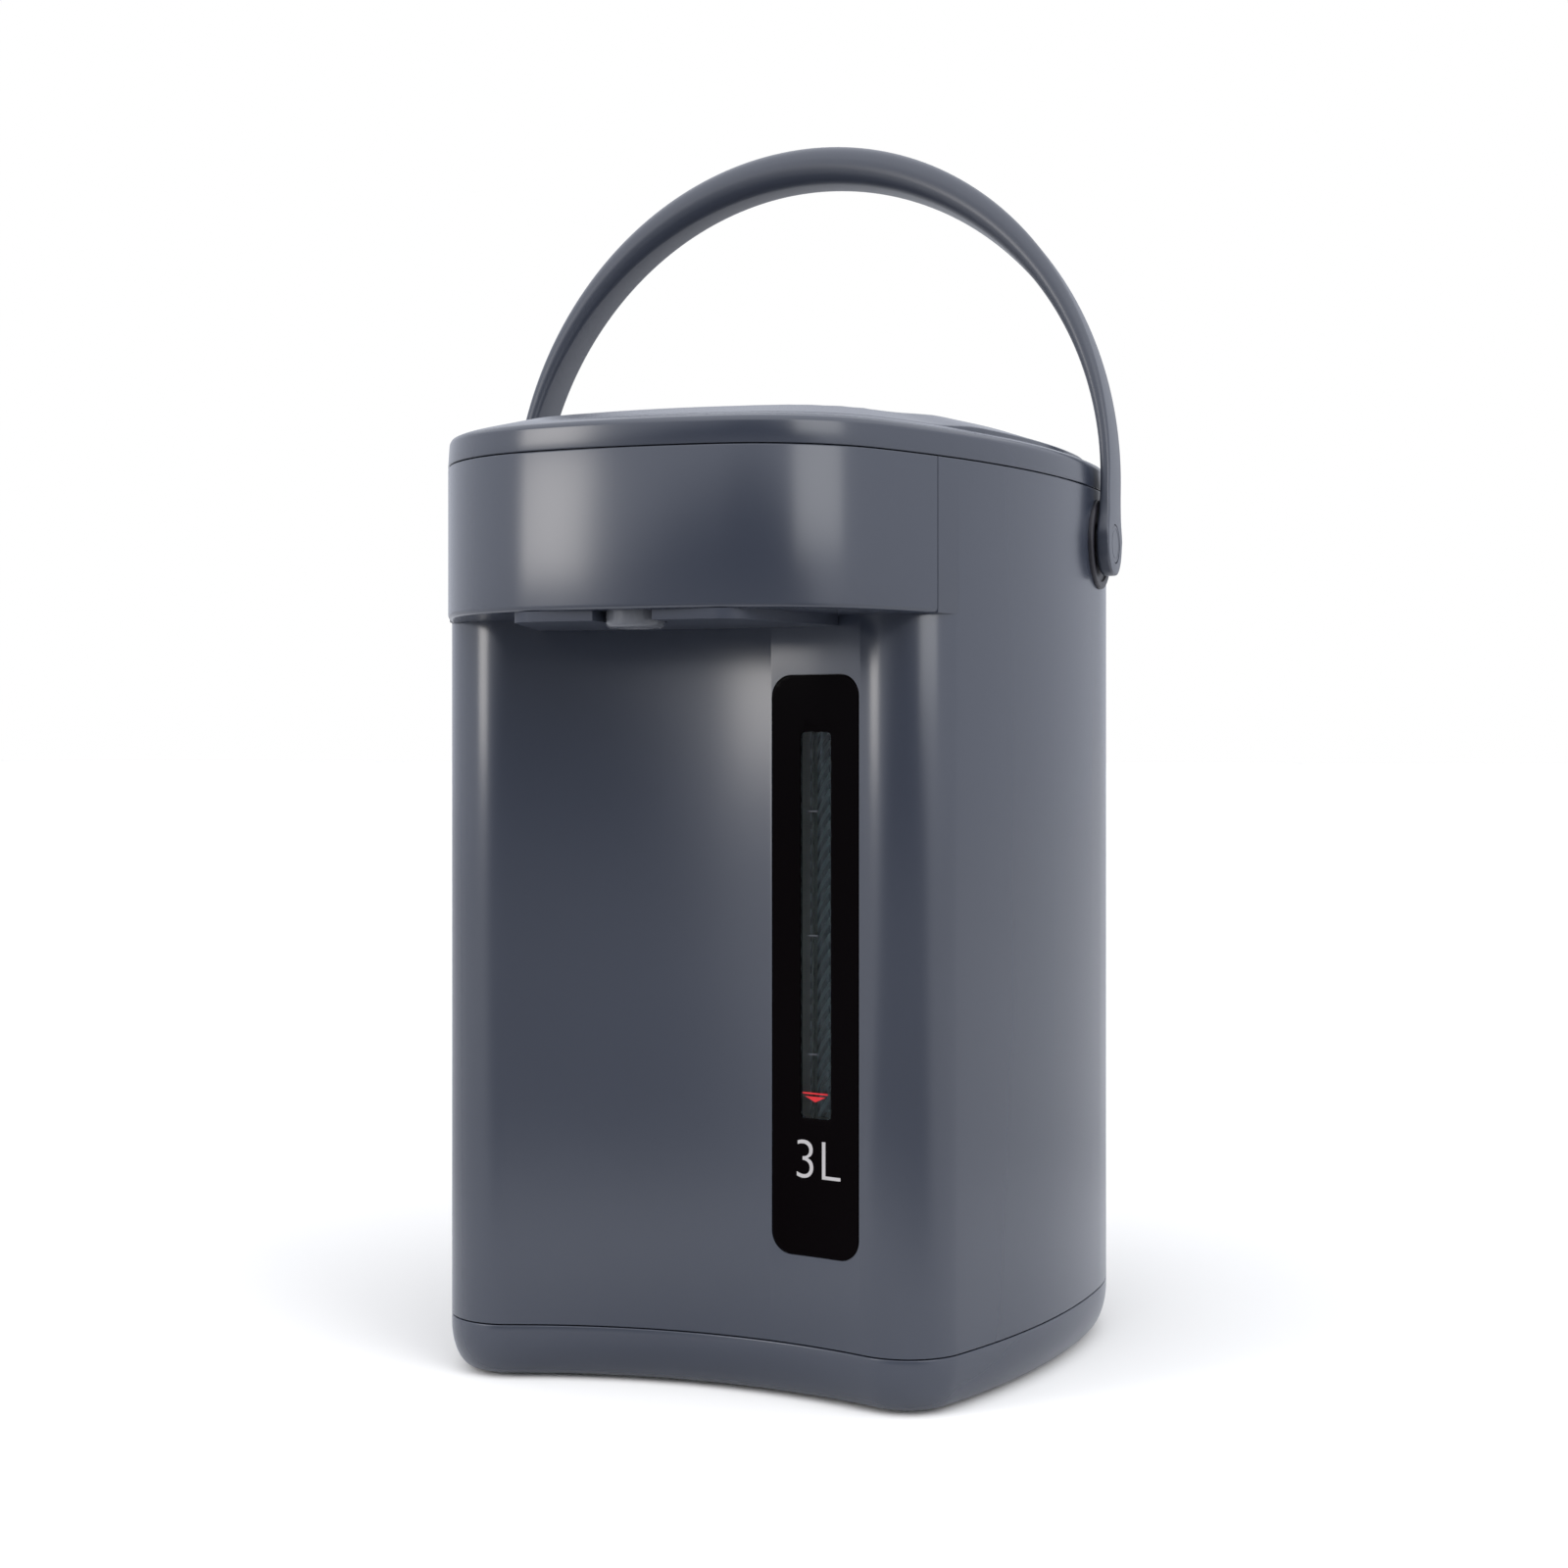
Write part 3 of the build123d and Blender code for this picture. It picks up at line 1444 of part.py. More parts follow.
with BuildPart() as pivot_rosettes:
    for side in (1, -1):
        rosette_face = side * (bail_half - hub_thick / 2 - run_gap)
        with BuildSketch(upright(rosette_face, 0, pivot_z, (side, 0, 0))):
            Circle(rosette_radius)
        extrude(amount=-rosette_depth)
        with BuildSketch(upright(rosette_face, 0, pivot_z, (side, 0, 0))):
            Circle(rosette_radius - rosette_rim)
            Circle(rosette_boss, mode=Mode.SUBTRACT)
        extrude(amount=-rosette_recess, mode=Mode.SUBTRACT)
    add(flank_form.part, mode=Mode.SUBTRACT)
    for side in (1, -1):
        rosette_face = side * (bail_half - hub_thick / 2 - run_gap)
        barrel_reach = abs(rosette_face) - pin_inner - rosette_recess
        with BuildSketch(upright(side * pin_inner, 0, pivot_z, (side, 0, 0))):
            Circle(barrel_radius)
        extrude(amount=barrel_reach)
        with BuildSketch(upright(side * pin_inner, 0, pivot_z, (side, 0, 0))):
            Circle(pivot_radius + pin_gap)
        extrude(amount=bail_half, mode=Mode.SUBTRACT)
save(pivot_rosettes.part, "pivot_rosettes")

pin_face = bail_half + hub_thick / 2 - cap_thick - fit_gap

with BuildPart() as pivot_pins:
    for side in (1, -1):
        with BuildSketch(upright(side * pin_inner, 0, pivot_z, (side, 0, 0))):
            Circle(pivot_radius)
        extrude(amount=pin_face - pin_inner - slip_gap)
        with BuildSketch(upright(side * (pin_face - slip_gap), 0, pivot_z, (side, 0, 0))):
            Circle(head_radius)
        extrude(amount=-head_thick)
save(pivot_pins.part, "pivot_pins")

with BuildPart() as bail_caps:
    for side in (1, -1):
        cap_face = side * (bail_half + hub_thick / 2 - slip_gap)
        with BuildSketch(upright(cap_face, 0, pivot_z, (side, 0, 0))):
            Circle(cap_radius)
        extrude(amount=-cap_thick)
save(bail_caps.part, "bail_caps")

# ---- Power inlet and boards ---------------------------------------------------------------

with BuildPart() as power_inlet:
    with BuildSketch(upright(0, rear_radius - inlet_depth, inlet_z, (0, 1, 0))):
        RectangleRounded(inlet_width, inlet_height, inlet_corner)
    extrude(amount=2 * inlet_depth)
    with BuildSketch(level(inlet_z)):
        Circle(rear_radius)
    extrude(amount=inlet_height, both=True, mode=Mode.INTERSECT)
    with BuildSketch(upright(0, rear_radius - socket_depth, inlet_z, (0, 1, 0))):
        RectangleRounded(socket_width, socket_height, socket_corner)
    extrude(amount=2 * socket_depth, mode=Mode.SUBTRACT)
    with BuildSketch(upright(0, rear_radius - socket_depth, inlet_z, (0, 1, 0))):
        with GridLocations(pin_spacing, 0, 2, 1):
            Circle(pin_radius)
    extrude(amount=-pin_length / 2, mode=Mode.SUBTRACT)
save(power_inlet.part, "power_inlet")

with BuildPart() as inlet_pins:
    with BuildSketch(upright(0, rear_radius - socket_depth, inlet_z, (0, 1, 0))):
        with GridLocations(pin_spacing, 0, 2, 1):
            Circle(pin_radius - glue_gap)
    extrude(amount=pin_length - fit_gap)
    with BuildSketch(upright(0, rear_radius - socket_depth, inlet_z, (0, 1, 0))):
        with GridLocations(pin_spacing, 0, 2, 1):
            Circle(pin_radius - glue_gap)
    extrude(amount=-pin_length / 2)
    chamfer(inlet_pins.edges().group_by(Axis.Y)[-1], length=pin_chamfer)
save(inlet_pins.part, "inlet_pins")

with BuildPart() as inlet_magnets:
    with BuildSketch(upright(0, rear_radius - socket_depth, inlet_z, (0, 1, 0))):
        with GridLocations(2 * magnet_x, 0, 2, 1):
            Circle(keeper_radius)
    extrude(amount=magnet_thick)
save(inlet_magnets.part, "inlet_magnets")

with BuildPart() as power_board:
    with BuildSketch(level(board_z)):
        with Locations((board_x, board_y)):
            Rectangle(board_width, board_length)
    extrude(amount=board_thick)
save(power_board.part, "power_board")

with BuildPart() as board_parts:
    with BuildSketch(level(board_top)):
        with Locations((board_x + parts_x, board_y + capacitor_y)):
            Circle(capacitor_radius)
        with Locations((board_x + parts_x, board_y + relay_y)):
            Rectangle(relay_width, relay_length)
    extrude(amount=parts_height)
save(board_parts.part, "board_parts")

with BuildPart() as transformer:
    with BuildSketch(level(board_top)):
        with Locations((board_x + coil_x, board_y)):
            Rectangle(core_width, core_length)
    extrude(amount=core_height)
    with BuildSketch(upright(board_x + coil_x, board_y, board_top + core_height / 2, (0, 1, 0))):
        Rectangle(winding_width, winding_height)
    extrude(amount=winding_length / 2, both=True)
save(transformer.part, "transformer")

# Leads from the board up to the heater band, and from the inlet down to the board
leads = []
for angle, lead_y in zip(heater_lead_angles, heater_lead_ys):
    band = Vector(container_radius + heater_wall / 2, 0).rotate(Axis.Z, angle)
    leads.append(
        [
            (heater_lead_x, axis_y + board_y + lead_y, board_top),
            (heater_lead_x, axis_y + board_y + lead_y, lead_level),
            (band.X, axis_y + band.Y, lead_level),
            (band.X, axis_y + band.Y, heater_low - fit_gap),
        ]
    )
for lead_x in mains_lead_xs:
    leads.append(
        [
            (lead_x, axis_y + rear_radius - inlet_depth, lead_level),
            (lead_x, axis_y + mains_lead_y, lead_level),
            (lead_x, axis_y + mains_lead_y, board_top),
        ]
    )
with BuildPart() as wiring:
    for route in leads:
        add(pipe(route, lead_bend, lead_radius))
save(wiring.part, "wiring")

# ---- Fasteners ----------------------------------------------------------------------------

with BuildPart() as deck_screws:
    with BuildSketch(level(floor_low)):
        with Locations(deck_posts):
            Circle(screw_head)
    extrude(amount=-screw_head_height)
    with BuildSketch(level(floor_low)):
        with Locations(deck_posts):
            Circle(screw_radius)
    extrude(amount=deck_top - deck_roof - floor_low - run_gap)
save(deck_screws.part, "deck_screws")

with BuildPart() as board_screws:
    with BuildSketch(level(board_top)):
        with Locations((board_x, board_y)):
            with GridLocations(board_screws_x, board_screws_y, 2, 2):
                Circle(screw_head)
    extrude(amount=screw_head_height)
save(board_screws.part, "board_screws")

with BuildPart() as base_screws:
    with BuildSketch(level(foot_height + fit_gap)):
        with Locations(base_bosses):
            Circle(screw_head)
    extrude(amount=screw_head_height)
    with BuildSketch(level(foot_height + fit_gap)):
        with Locations(base_bosses):
            Circle(screw_radius)
    extrude(amount=web_low - foot_height)
save(base_screws.part, "base_screws")
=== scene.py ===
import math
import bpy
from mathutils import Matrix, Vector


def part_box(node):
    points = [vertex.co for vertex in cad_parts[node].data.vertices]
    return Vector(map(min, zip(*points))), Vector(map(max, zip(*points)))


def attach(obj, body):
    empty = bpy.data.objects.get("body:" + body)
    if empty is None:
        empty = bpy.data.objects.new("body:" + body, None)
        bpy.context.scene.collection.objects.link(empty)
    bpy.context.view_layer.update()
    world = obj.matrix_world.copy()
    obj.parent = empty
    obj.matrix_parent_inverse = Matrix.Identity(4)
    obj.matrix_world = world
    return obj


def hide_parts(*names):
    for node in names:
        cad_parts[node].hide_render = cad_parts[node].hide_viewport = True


bl_info = {
    "name": "Electric thermo pot",
    "version": (1, 0, 0),
    "blender": (4, 5, 0),
    "location": "3D View > Sidebar > Thermo pot",
    "description": "Casings, gauge, handle, finishes and studio for a three litre electric thermo pot",
    "category": "Add Mesh",
}

import bmesh
import bpy
from mathutils import Vector
from mathutils.geometry import tessellate_polygon

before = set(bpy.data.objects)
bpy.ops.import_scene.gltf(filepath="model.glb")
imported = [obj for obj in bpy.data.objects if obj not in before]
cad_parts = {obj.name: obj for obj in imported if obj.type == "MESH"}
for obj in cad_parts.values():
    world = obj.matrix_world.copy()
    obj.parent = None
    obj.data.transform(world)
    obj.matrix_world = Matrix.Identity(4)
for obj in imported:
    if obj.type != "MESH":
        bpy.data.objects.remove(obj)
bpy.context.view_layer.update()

MM = 0.001
BODY = "pot"
SEGMENTS = {"front": 40, "corner": 24, "flank": 24, "rear": 48}  # points on each arc of a plan
CREASE = math.radians(32)
QUARTER = math.pi / 2
CUT_SPARE = 20 * MM  # how far a cutter reaches past the face that it cuts
MERGE = 0.001 * MM  # points closer than this are one point


def linear(code):
    """Linear colour of an sRGB hex code."""
    shares = [int(code[at : at + 2], 16) / 255 for at in (0, 2, 4)]
    return [s / 12.92 if s <= 0.04045 else ((s + 0.055) / 1.055) ** 2.4 for s in shares]


def length(name, mm, text):
    """A size that a user may change, given in millimetres."""
    return bpy.props.FloatProperty(
        name=name, description=text, default=mm * MM, unit="LENGTH", precision=5
    )


def paint(name, code, text):
    """A colour that a user may change, given as an sRGB hex code."""
    return bpy.props.FloatVectorProperty(
        name=name, description=text, subtype="COLOR", size=3, min=0, max=1, default=linear(code)
    )


class PotSizes(bpy.types.PropertyGroup):
    """Sizes of the casings, measured from the axis of the round water container"""

    axis_y: length("Axis", 28.75, "Container's axis behind the middle of the footprint")
    rear_radius: length("Back radius", 103, "Radius of the round back")
    side_radius: length("Flank radius", 270, "Radius of each long flank")
    hollow_depth: length("Hollow depth", 102, "Axis to the middle of the hollow front")
    hollow_radius: length("Hollow radius", 167, "Curve of the hollow front")
    hollow_corner: length("Body corner", 20, "Rounding between hollow front and flank")
    beak_reach: length("Beak reach", 160.5, "Axis to the front of the beak")
    beak_radius: length("Beak radius", 193, "Bow of the beak's front")
    beak_corner: length("Beak corner", 54, "Rounding between beak front and flank")
    skirt_bottom: length("Skirt bottom", 1.6, "Height of the skirt's lower edge")
    skirt_top: length("Skirt top", 18, "Height of the joint between skirt and body")
    tuck_in: length("Skirt tuck", 7, "How far the skirt curves in at its foot")
    tuck_height: length("Skirt tuck height", 14, "Height of the skirt's curve")
    beak_bottom: length("Beak bottom", 236, "Height of the beak's underside")
    body_top: length("Body top", 282, "Height of the joint between body and rim")
    rim_top: length("Rim top", 289.2, "Height of the rim's upright side")
    rim_soft: length("Rim rounding", 1.4, "Width of the rounding on the rim's outer edge")
    rim_draft: length("Rim draft", 0.35, "How far the rim's upright side leans in at its top")
    deck_top: length("Deck top", 296.8, "Height of the flat of the deck")
    deck_roof: length("Deck thickness", 2.5, "Thickness of the deck")
    crown_run: length("Crown run", 20, "Slope from the rim's side in to the flat of the deck")
    crown_front: length("Crown front", 11, "So much longer is that slope at the front")
    deck_step: length("Deck step", 1.2, "Height that the deck stands above the rim at the flanks")
    rim_width: length("Rim width", 6.5, "Width of the rim seen from above")
    floor_top: length("Frame floor", 287.2, "Upper face of the frame's floor")
    floor_thick: length("Frame floor thickness", 2.5, "Thickness of the frame's floor")
    collar_radius: length("Mouth radius", 64.5, "Radius of the way in through the frame's floor")
    wall: length("Wall", 2.5, "Wall thickness of the casings")
    lip_outside: length("Lip outside", 2.7, "Wall's face to the outside of a lip inside the next casing")
    lip_inside: length("Lip inside", 4.3, "Wall's face to the inside of such a lip")
    lip_reach: length("Lip reach", 5, "How far such a lip reaches into the next casing")
    seam: length("Seam", 0.3, "Visible joint line between two casings")
    edge: length("Edge", 0.35, "Rounding of the moulded edges at the joint lines")
    beak_edge: length("Beak edge", 1.5, "Rounding along the beak's lower edge")
    parting_y: length("Beak parting", 110, "Axis to the joint line at the side of the beak")


class HandleSizes(bpy.types.PropertyGroup):
    """Sizes of the carrying handle and its pivots"""

    pivot_z: length("Pivot height", 264, "Height of the pivots")
    half: length("Half width", 106.5, "Middle of the pot to the middle of a leg")
    leg: length("Leg", 19, "Straight part of each leg above the pivot")
    rise: length("Rise", 116.9, "Height of the arch above its legs")
    lean: bpy.props.FloatProperty(
        name="Lean",
        description="How far the raised handle leans back",
        default=math.radians(5.8),
        subtype="ANGLE",
    )
    leg_width: length("Leg width", 18.9, "Width of a leg above its hub")
    leg_thick: length("Leg thickness", 3, "Thickness of a leg above its hub")
    grip_width: length("Grip width", 17.9, "Width of the grip at the top")
    grip_thick: length("Grip thickness", 13.3, "Height of the grip's section at the top")
    edge: length("Leg edge", 0.9, "Rounding of a leg's edges at its hub")
    hub_radius: length("Hub radius", 10.5, "Radius of the round end of a leg")
    hub_thick: length("Hub thickness", 4.2, "Thickness of the round end of a leg")
    cap_radius: length("Cap radius", 6.4, "Radius of the cap in the hub")
    cap_sunk: length("Cap sunk", 0.1, "How far the cap lies below the hub's face")
    cap_thick: length("Cap thickness", 0.8, "Thickness of the cap")
    rosette_radius: length("Rosette radius", 14.8, "Radius of the dark disc under the hub")
    neck_radius: length("Neck radius", 9, "Radius of the rosette's neck in the body's bore")
    pin_radius: length("Pin radius", 4, "Radius of the pin that the handle turns on")


class GaugeSizes(bpy.types.PropertyGroup):
    """Sizes of the water gauge"""

    centre_x: length("Gauge place", 40.8, "Middle of the gauge, right of the pot's middle")
    panel_width: length("Panel width", 29.7, "Width of the black panel")
    panel_low: length("Panel foot", 45, "Height of the panel's lower edge")
    panel_high: length("Panel head", 218.5, "Height of the panel's upper edge")
    panel_corner: length("Panel corner", 6.5, "Rounding of the panel's corners")
    panel_proud: length("Panel proud", 0.1, "How far the panel stands out")
    panel_depth: length("Panel depth", 1.25, "How deep the panel lies in the body")
    slot_width: length("Slot width", 10.4, "Width of the window")
    slot_low: length("Slot foot", 86, "Height of the window's lower edge")
    slot_high: length("Slot head", 201.5, "Height of the window's upper edge")
    slot_corner: length("Slot corner", 1.5, "Rounding of the window's corners")
    refill_level: length("Refill level", 93.6, "Height of the red bar at the lowest water level")
    label_width: length("Figure width", 15.2, "Width of the capacity figure")
    label_height: length("Figure height", 11.4, "Height of the capacity figure")
    label_low: length("Figure foot", 68.2, "Height of the capacity figure's foot")


class PotColours(bpy.types.PropertyGroup):
    """Colours of the pot"""

    casing: paint("Casing", "383D49", "Slate grey casings and handle")
    trim: paint("Dark trim", "242228", "Rosettes, inlet and vent")
    base: paint("Base", "1F1F21", "Base plate and feet")
    outlet: paint("Outlet", "6E7075", "Water nozzle")
    gauge: paint("Gauge black", "060304", "Glossy gauge panel")
    teal: paint("Gauge depth", "435866", "Backing seen through the window")
    stripe: paint("Gauge stripe", "EDF3F6", "Slanting stripes on the backing")
    figure: paint("Figure", "C9C4C1", "Capacity figure on the gauge")
    tick: paint("Level tick", "5E6066", "Level ticks on the window")
    warning: paint("Refill mark", "E01C24", "Mark at the lowest water level")
    floor: paint("Floor", "FFFFFF", "Studio floor")
    floor_seen: paint("Floor seen", "FFFDF8", "Studio floor as the camera sees it, balanced for the tent")


# ---- Nodes and finishes -------------------------------------------------------------------


def put(tree, kind, inputs=None, **settings):
    """Add a node with its settings. Each input holds a value, an output, or a node's first output."""
    node = tree.nodes.new(kind)
    for key, value in settings.items():
        setattr(node, key, value)
    for key, value in (inputs or {}).items():
        if isinstance(value, bpy.types.Node):
            value = value.outputs[0]
        if isinstance(value, bpy.types.NodeSocket):
            tree.links.new(value, node.inputs[key])
        else:
            node.inputs[key].default_value = value
    return node


def rgba(colour, shade=1.0):
    """Four-part colour, lighter or darker by a share."""
    return [min(1.0, part * shade) for part in colour] + [1.0]


def blank(name):
    """A new material, its empty tree and its object coordinates, which are real metres."""
    material = bpy.data.materials.new(name)
    material.use_nodes = True
    tree = material.node_tree
    tree.nodes.clear()
    return material, tree, put(tree, "ShaderNodeTexCoord").outputs["Object"]


def per_metre(mm):
    """Noise scale whose features are about this many millimetres across."""
    return 1 / (mm * MM)


def surface(tree, height, depth, inputs):
    """Principled surface with a bump of so many millimetres from the height's node."""
    relief = {"Height": height, "Strength": 1.0, "Distance": depth * MM}
    bump = put(tree, "ShaderNodeBump", relief)
    shader = put(tree, "ShaderNodeBsdfPrincipled", {"Normal": bump, **inputs})
    put(tree, "ShaderNodeOutputMaterial", {"Surface": shader})


def moulded(name, colour, roughness, grain, depth, **more):
    """Moulded plastic or rubber: an even colour that drifts slightly, and a fine grain from the tool.

    The grain, in millimetres, breaks up the gloss, and depth is how deep it is in millimetres.
    """
    drift_size, tint_share, gloss_share = 60, 0.06, 0.07
    _, tree, place = blank(name)
    cloudy = {"Vector": place, "Scale": per_metre(drift_size), "Detail": 2.0, "Roughness": 0.5}
    drift = put(tree, "ShaderNodeTexNoise", cloudy)
    shades = {0: drift, 6: rgba(colour, 1 - tint_share), 7: rgba(colour, 1 + tint_share)}
    tint = put(tree, "ShaderNodeMix", shades, data_type="RGBA")
    low, high = roughness * (1 - gloss_share), min(1.0, roughness * (1 + gloss_share))
    gloss = put(tree, "ShaderNodeMapRange", {"Value": drift, "To Min": low, "To Max": high})
    fine = {"Vector": place, "Scale": per_metre(grain), "Detail": 3.0, "Roughness": 0.6}
    texture = put(tree, "ShaderNodeTexNoise", fine)
    inputs = {"Base Color": tint.outputs[2], "Roughness": gloss, **more}
    surface(tree, texture, depth, inputs)


def metal(name, colour, roughness, across, along, depth):
    """Metal with fine lines from rolling, drawing or turning; across and along are line sizes in mm."""
    _, tree, place = blank(name)
    scale = (per_metre(across), per_metre(across), per_metre(along))
    stretch = put(tree, "ShaderNodeMapping", {"Vector": place, "Scale": scale})
    fine = {"Vector": stretch, "Scale": 1.0, "Detail": 3.0, "Roughness": 0.6}
    lines = put(tree, "ShaderNodeTexNoise", fine)
    low, high = roughness * 0.8, min(1.0, roughness * 1.25)
    spread = put(tree, "ShaderNodeMapRange", {"Value": lines, "To Min": low, "To Max": high})
    surface(tree, lines, depth, {"Base Color": rgba(colour), "Metallic": 1.0, "Roughness": spread})


def clear(name, colour, roughness, ior):
    """Clear pressed or drawn material, with a slight waviness that bends what lies behind it."""
    wave_size, wave_depth = 9, 0.02
    _, tree, place = blank(name)
    waves = put(
        tree, "ShaderNodeTexNoise", {"Vector": place, "Scale": per_metre(wave_size), "Detail": 1.0}
    )
    inputs = {"Base Color": rgba(colour), "Roughness": roughness, "IOR": ior}
    surface(tree, waves, wave_depth, {**inputs, "Transmission Weight": 1.0})


# ---- Outlines -----------------------------------------------------------------------------


def arc(centre, radius, start, end, steps, last=False):
    """Points on an arc, with its first point, and with its last where that is asked."""
    turns = [start + (end - start) * step / steps for step in range(steps + last)]
    return [(centre[0] + radius * math.cos(t), centre[1] + radius * math.sin(t)) for t in turns]


def circle(radius, steps, centre=(0.0, 0.0)):
    """Closed round outline."""
    return arc(centre, radius, 0, 2 * math.pi, steps)


def mirrored(half):
    """Closed outline from its right half, which starts and ends on the middle line."""
    return half + [(-x, y) for x, y in reversed(half[1:-1])]


def corner_of(sizes, beak, back=0.0):
    """Front arc's centre, radius and sense, corner radius and corner centre of a plan."""
    if beak:
        centre_y, radius = sizes.beak_radius - sizes.beak_reach + back, sizes.beak_radius
        corner, sense = sizes.beak_corner, -1
    else:
        centre_y, radius = -(sizes.hollow_depth + sizes.hollow_radius), sizes.hollow_radius
        corner, sense = sizes.hollow_corner, 1
    shift = sizes.side_radius - sizes.rear_radius
    side_reach, front_reach = sizes.side_radius - corner, radius + sense * corner
    span = math.hypot(shift, centre_y)
    along = (side_reach**2 - front_reach**2 + span**2) / (2 * span)
    off = math.sqrt(side_reach**2 - along**2)
    unit = Vector((shift, centre_y)) / span
    # The corner's centre is the meeting point further from the middle.
    meets = [along * unit + turn * off * Vector((-unit.y, unit.x)) for turn in (1, -1)]
    meet = max(meets, key=lambda point: point.x)
    return centre_y, radius, sense, corner, (meet.x - shift, meet.y)


def half_plan(sizes, beak, inset, back=0.0):
    """Right half of a plan outline, from the middle of the front to the middle of the back."""
    centre_y, radius, sense, corner, (corner_x, corner_y) = corner_of(sizes, beak, back)
    shift = sizes.side_radius - sizes.rear_radius
    to_corner = math.atan2(corner_y - centre_y, corner_x)
    from_flank = math.atan2(corner_y, corner_x + shift)
    corner_start = to_corner if beak else to_corner - math.pi
    front_radius = radius + sense * inset
    points = arc((0, centre_y), front_radius, sense * QUARTER, to_corner, SEGMENTS["front"])
    points += arc(
        (corner_x, corner_y), corner - inset, corner_start, from_flank, SEGMENTS["corner"]
    )
    points += arc((-shift, 0), sizes.side_radius - inset, from_flank, 0, SEGMENTS["flank"])
    points += arc((0, 0), sizes.rear_radius - inset, 0, QUARTER, SEGMENTS["rear"])
    return [*points, (0, sizes.rear_radius - inset)]


def plan(sizes, beak, inset=0.0):
    """Closed outline of the body, or of the beak, seen from above."""
    return mirrored(half_plan(sizes, beak, inset))


def at_level(points, sizes, z):
    """Plan points, measured from the container's axis, as points of the pot at one height."""
    return [(x, y + sizes.axis_y, z) for x, y in points]


def crown(sizes, inset, lift=0.0):
    """Ring on the top's slope, so far in from the rim's side, raised by lift."""
    straight, early = 0.875, 0.06
    foot = plan(sizes, True)
    crest = mirrored(half_plan(sizes, True, sizes.crown_run, sizes.crown_front))
    ring = []
    for (foot_x, foot_y), (crest_x, crest_y) in zip(foot, crest):
        share = inset / math.hypot(crest_x - foot_x, crest_y - foot_y)
        # The slope starts steeper and soon runs straight up to the flat.
        soon = 1 - math.exp(-share / early)
        climb = straight * share + (1 - straight) * soon if share < 1 else 1.0
        z = sizes.rim_top + (sizes.deck_top - sizes.rim_top) * climb
        x = foot_x + (crest_x - foot_x) * share
        y = foot_y + (crest_y - foot_y) * share
        ring.append((x, y + sizes.axis_y, z + lift))
    return ring


def beak_front(sizes, inset, parting):
    """Open outline of the beak in front of its joint line, from the right end to the left end."""
    shift = sizes.side_radius - sizes.rear_radius
    count = SEGMENTS["front"] + SEGMENTS["corner"]
    half = half_plan(sizes, True, inset)[: count + 1]
    radius = sizes.side_radius - inset
    start = -math.asin(parting / radius)
    end = math.atan2(half[-1][1], half[-1][0] + shift)
    right = arc((-shift, 0), radius, start, end, SEGMENTS["corner"]) + list(reversed(half))
    return right + [(-x, y) for x, y in reversed(right[:-1])]


def rounded_box(width, height, corner, centre=(0.0, 0.0), steps=10):
    """Closed outline of a rectangle with rounded corners, counter-clockwise."""
    points = []
    for turn, (side_x, side_y) in enumerate(((1, 1), (-1, 1), (-1, -1), (1, -1))):
        middle_x = centre[0] + side_x * (width / 2 - corner)
        middle_y = centre[1] + side_y * (height / 2 - corner)
        start = turn * QUARTER
        points += arc((middle_x, middle_y), corner, start, start + QUARTER, steps, last=True)
    return points


def around_node(node, spare, corner=None, level="y", steps=10):
    """Rounded outline of a CAD node's box in X and one more axis; with no corner its ends are round."""
    low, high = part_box(node)
    size, middle = high - low, (low + high) / 2
    width, height = size.x + spare, getattr(size, level) + spare
    if corner is None:
        corner = 0.499 * min(width, height)
    return rounded_box(width, height, corner, (middle.x, getattr(middle, level)), steps)


def around_gauge(gauge, part, spare=0.0, corner=None, steps=10):
    """Outline of the gauge's panel or slot, with spare on every side."""
    width, low, high, soft = (
        getattr(gauge, f"{part}_{key}") for key in ("width", "low", "high", "corner")
    )
    corner = soft + spare if corner is None else corner
    middle = (gauge.centre_x, (low + high) / 2)
    return rounded_box(width + 2 * spare, high - low + 2 * spare, corner, middle, steps)


def shrunk(loop, distance):
    """Counter-clockwise outline moved inwards by a small distance."""
    sharpest = 0.3
    moved = []
    for at, point in enumerate(loop):
        before, here, after = Vector(loop[at - 1]), Vector(point), Vector(loop[(at + 1) % len(loop)])
        in_way, out_way = (here - before).normalized(), (after - here).normalized()
        normal_in, normal_out = Vector((-in_way.y, in_way.x)), Vector((-out_way.y, out_way.x))
        middle = (normal_in + normal_out).normalized()
        moved.append(tuple(here + middle * distance / max(sharpest, middle.dot(normal_in))))
    return moved


def smooth_step(share):
    """Share from 0 to 1 with a soft start and end."""
    share = min(1.0, max(0.0, share))
    return share * share * (3 - 2 * share)


def quarter_round(radius, steps=6):
    """Offsets (inset, drop) along a quarter round, from the side to the face; one if it is sharp."""
    turns = [QUARTER * step / steps for step in range(steps + 1)] if radius else [0.0]
    return [(radius * (1 - math.cos(turn)), radius * (1 - math.sin(turn))) for turn in turns]


def side_rows(low, high, soft_low, soft_high, steps=(3, 3)):
    """Rows (inset, height) up the outside of a wall whose lower and upper edges are rounded."""
    rows = [(inset, low + drop) for inset, drop in reversed(quarter_round(soft_low, steps[0]))]
    return rows + [(inset, high - drop) for inset, drop in quarter_round(soft_high, steps[1])]


def bend_to_hollow(sizes):
    """Turns (across, up, depth) into a point on the hollow front; depth counts into the body."""
    centre_y = -(sizes.hollow_depth + sizes.hollow_radius) + sizes.axis_y

    def place(x, z, depth):
        return Vector((x, centre_y + math.sqrt((sizes.hollow_radius + depth) ** 2 - x**2), z))

    return place


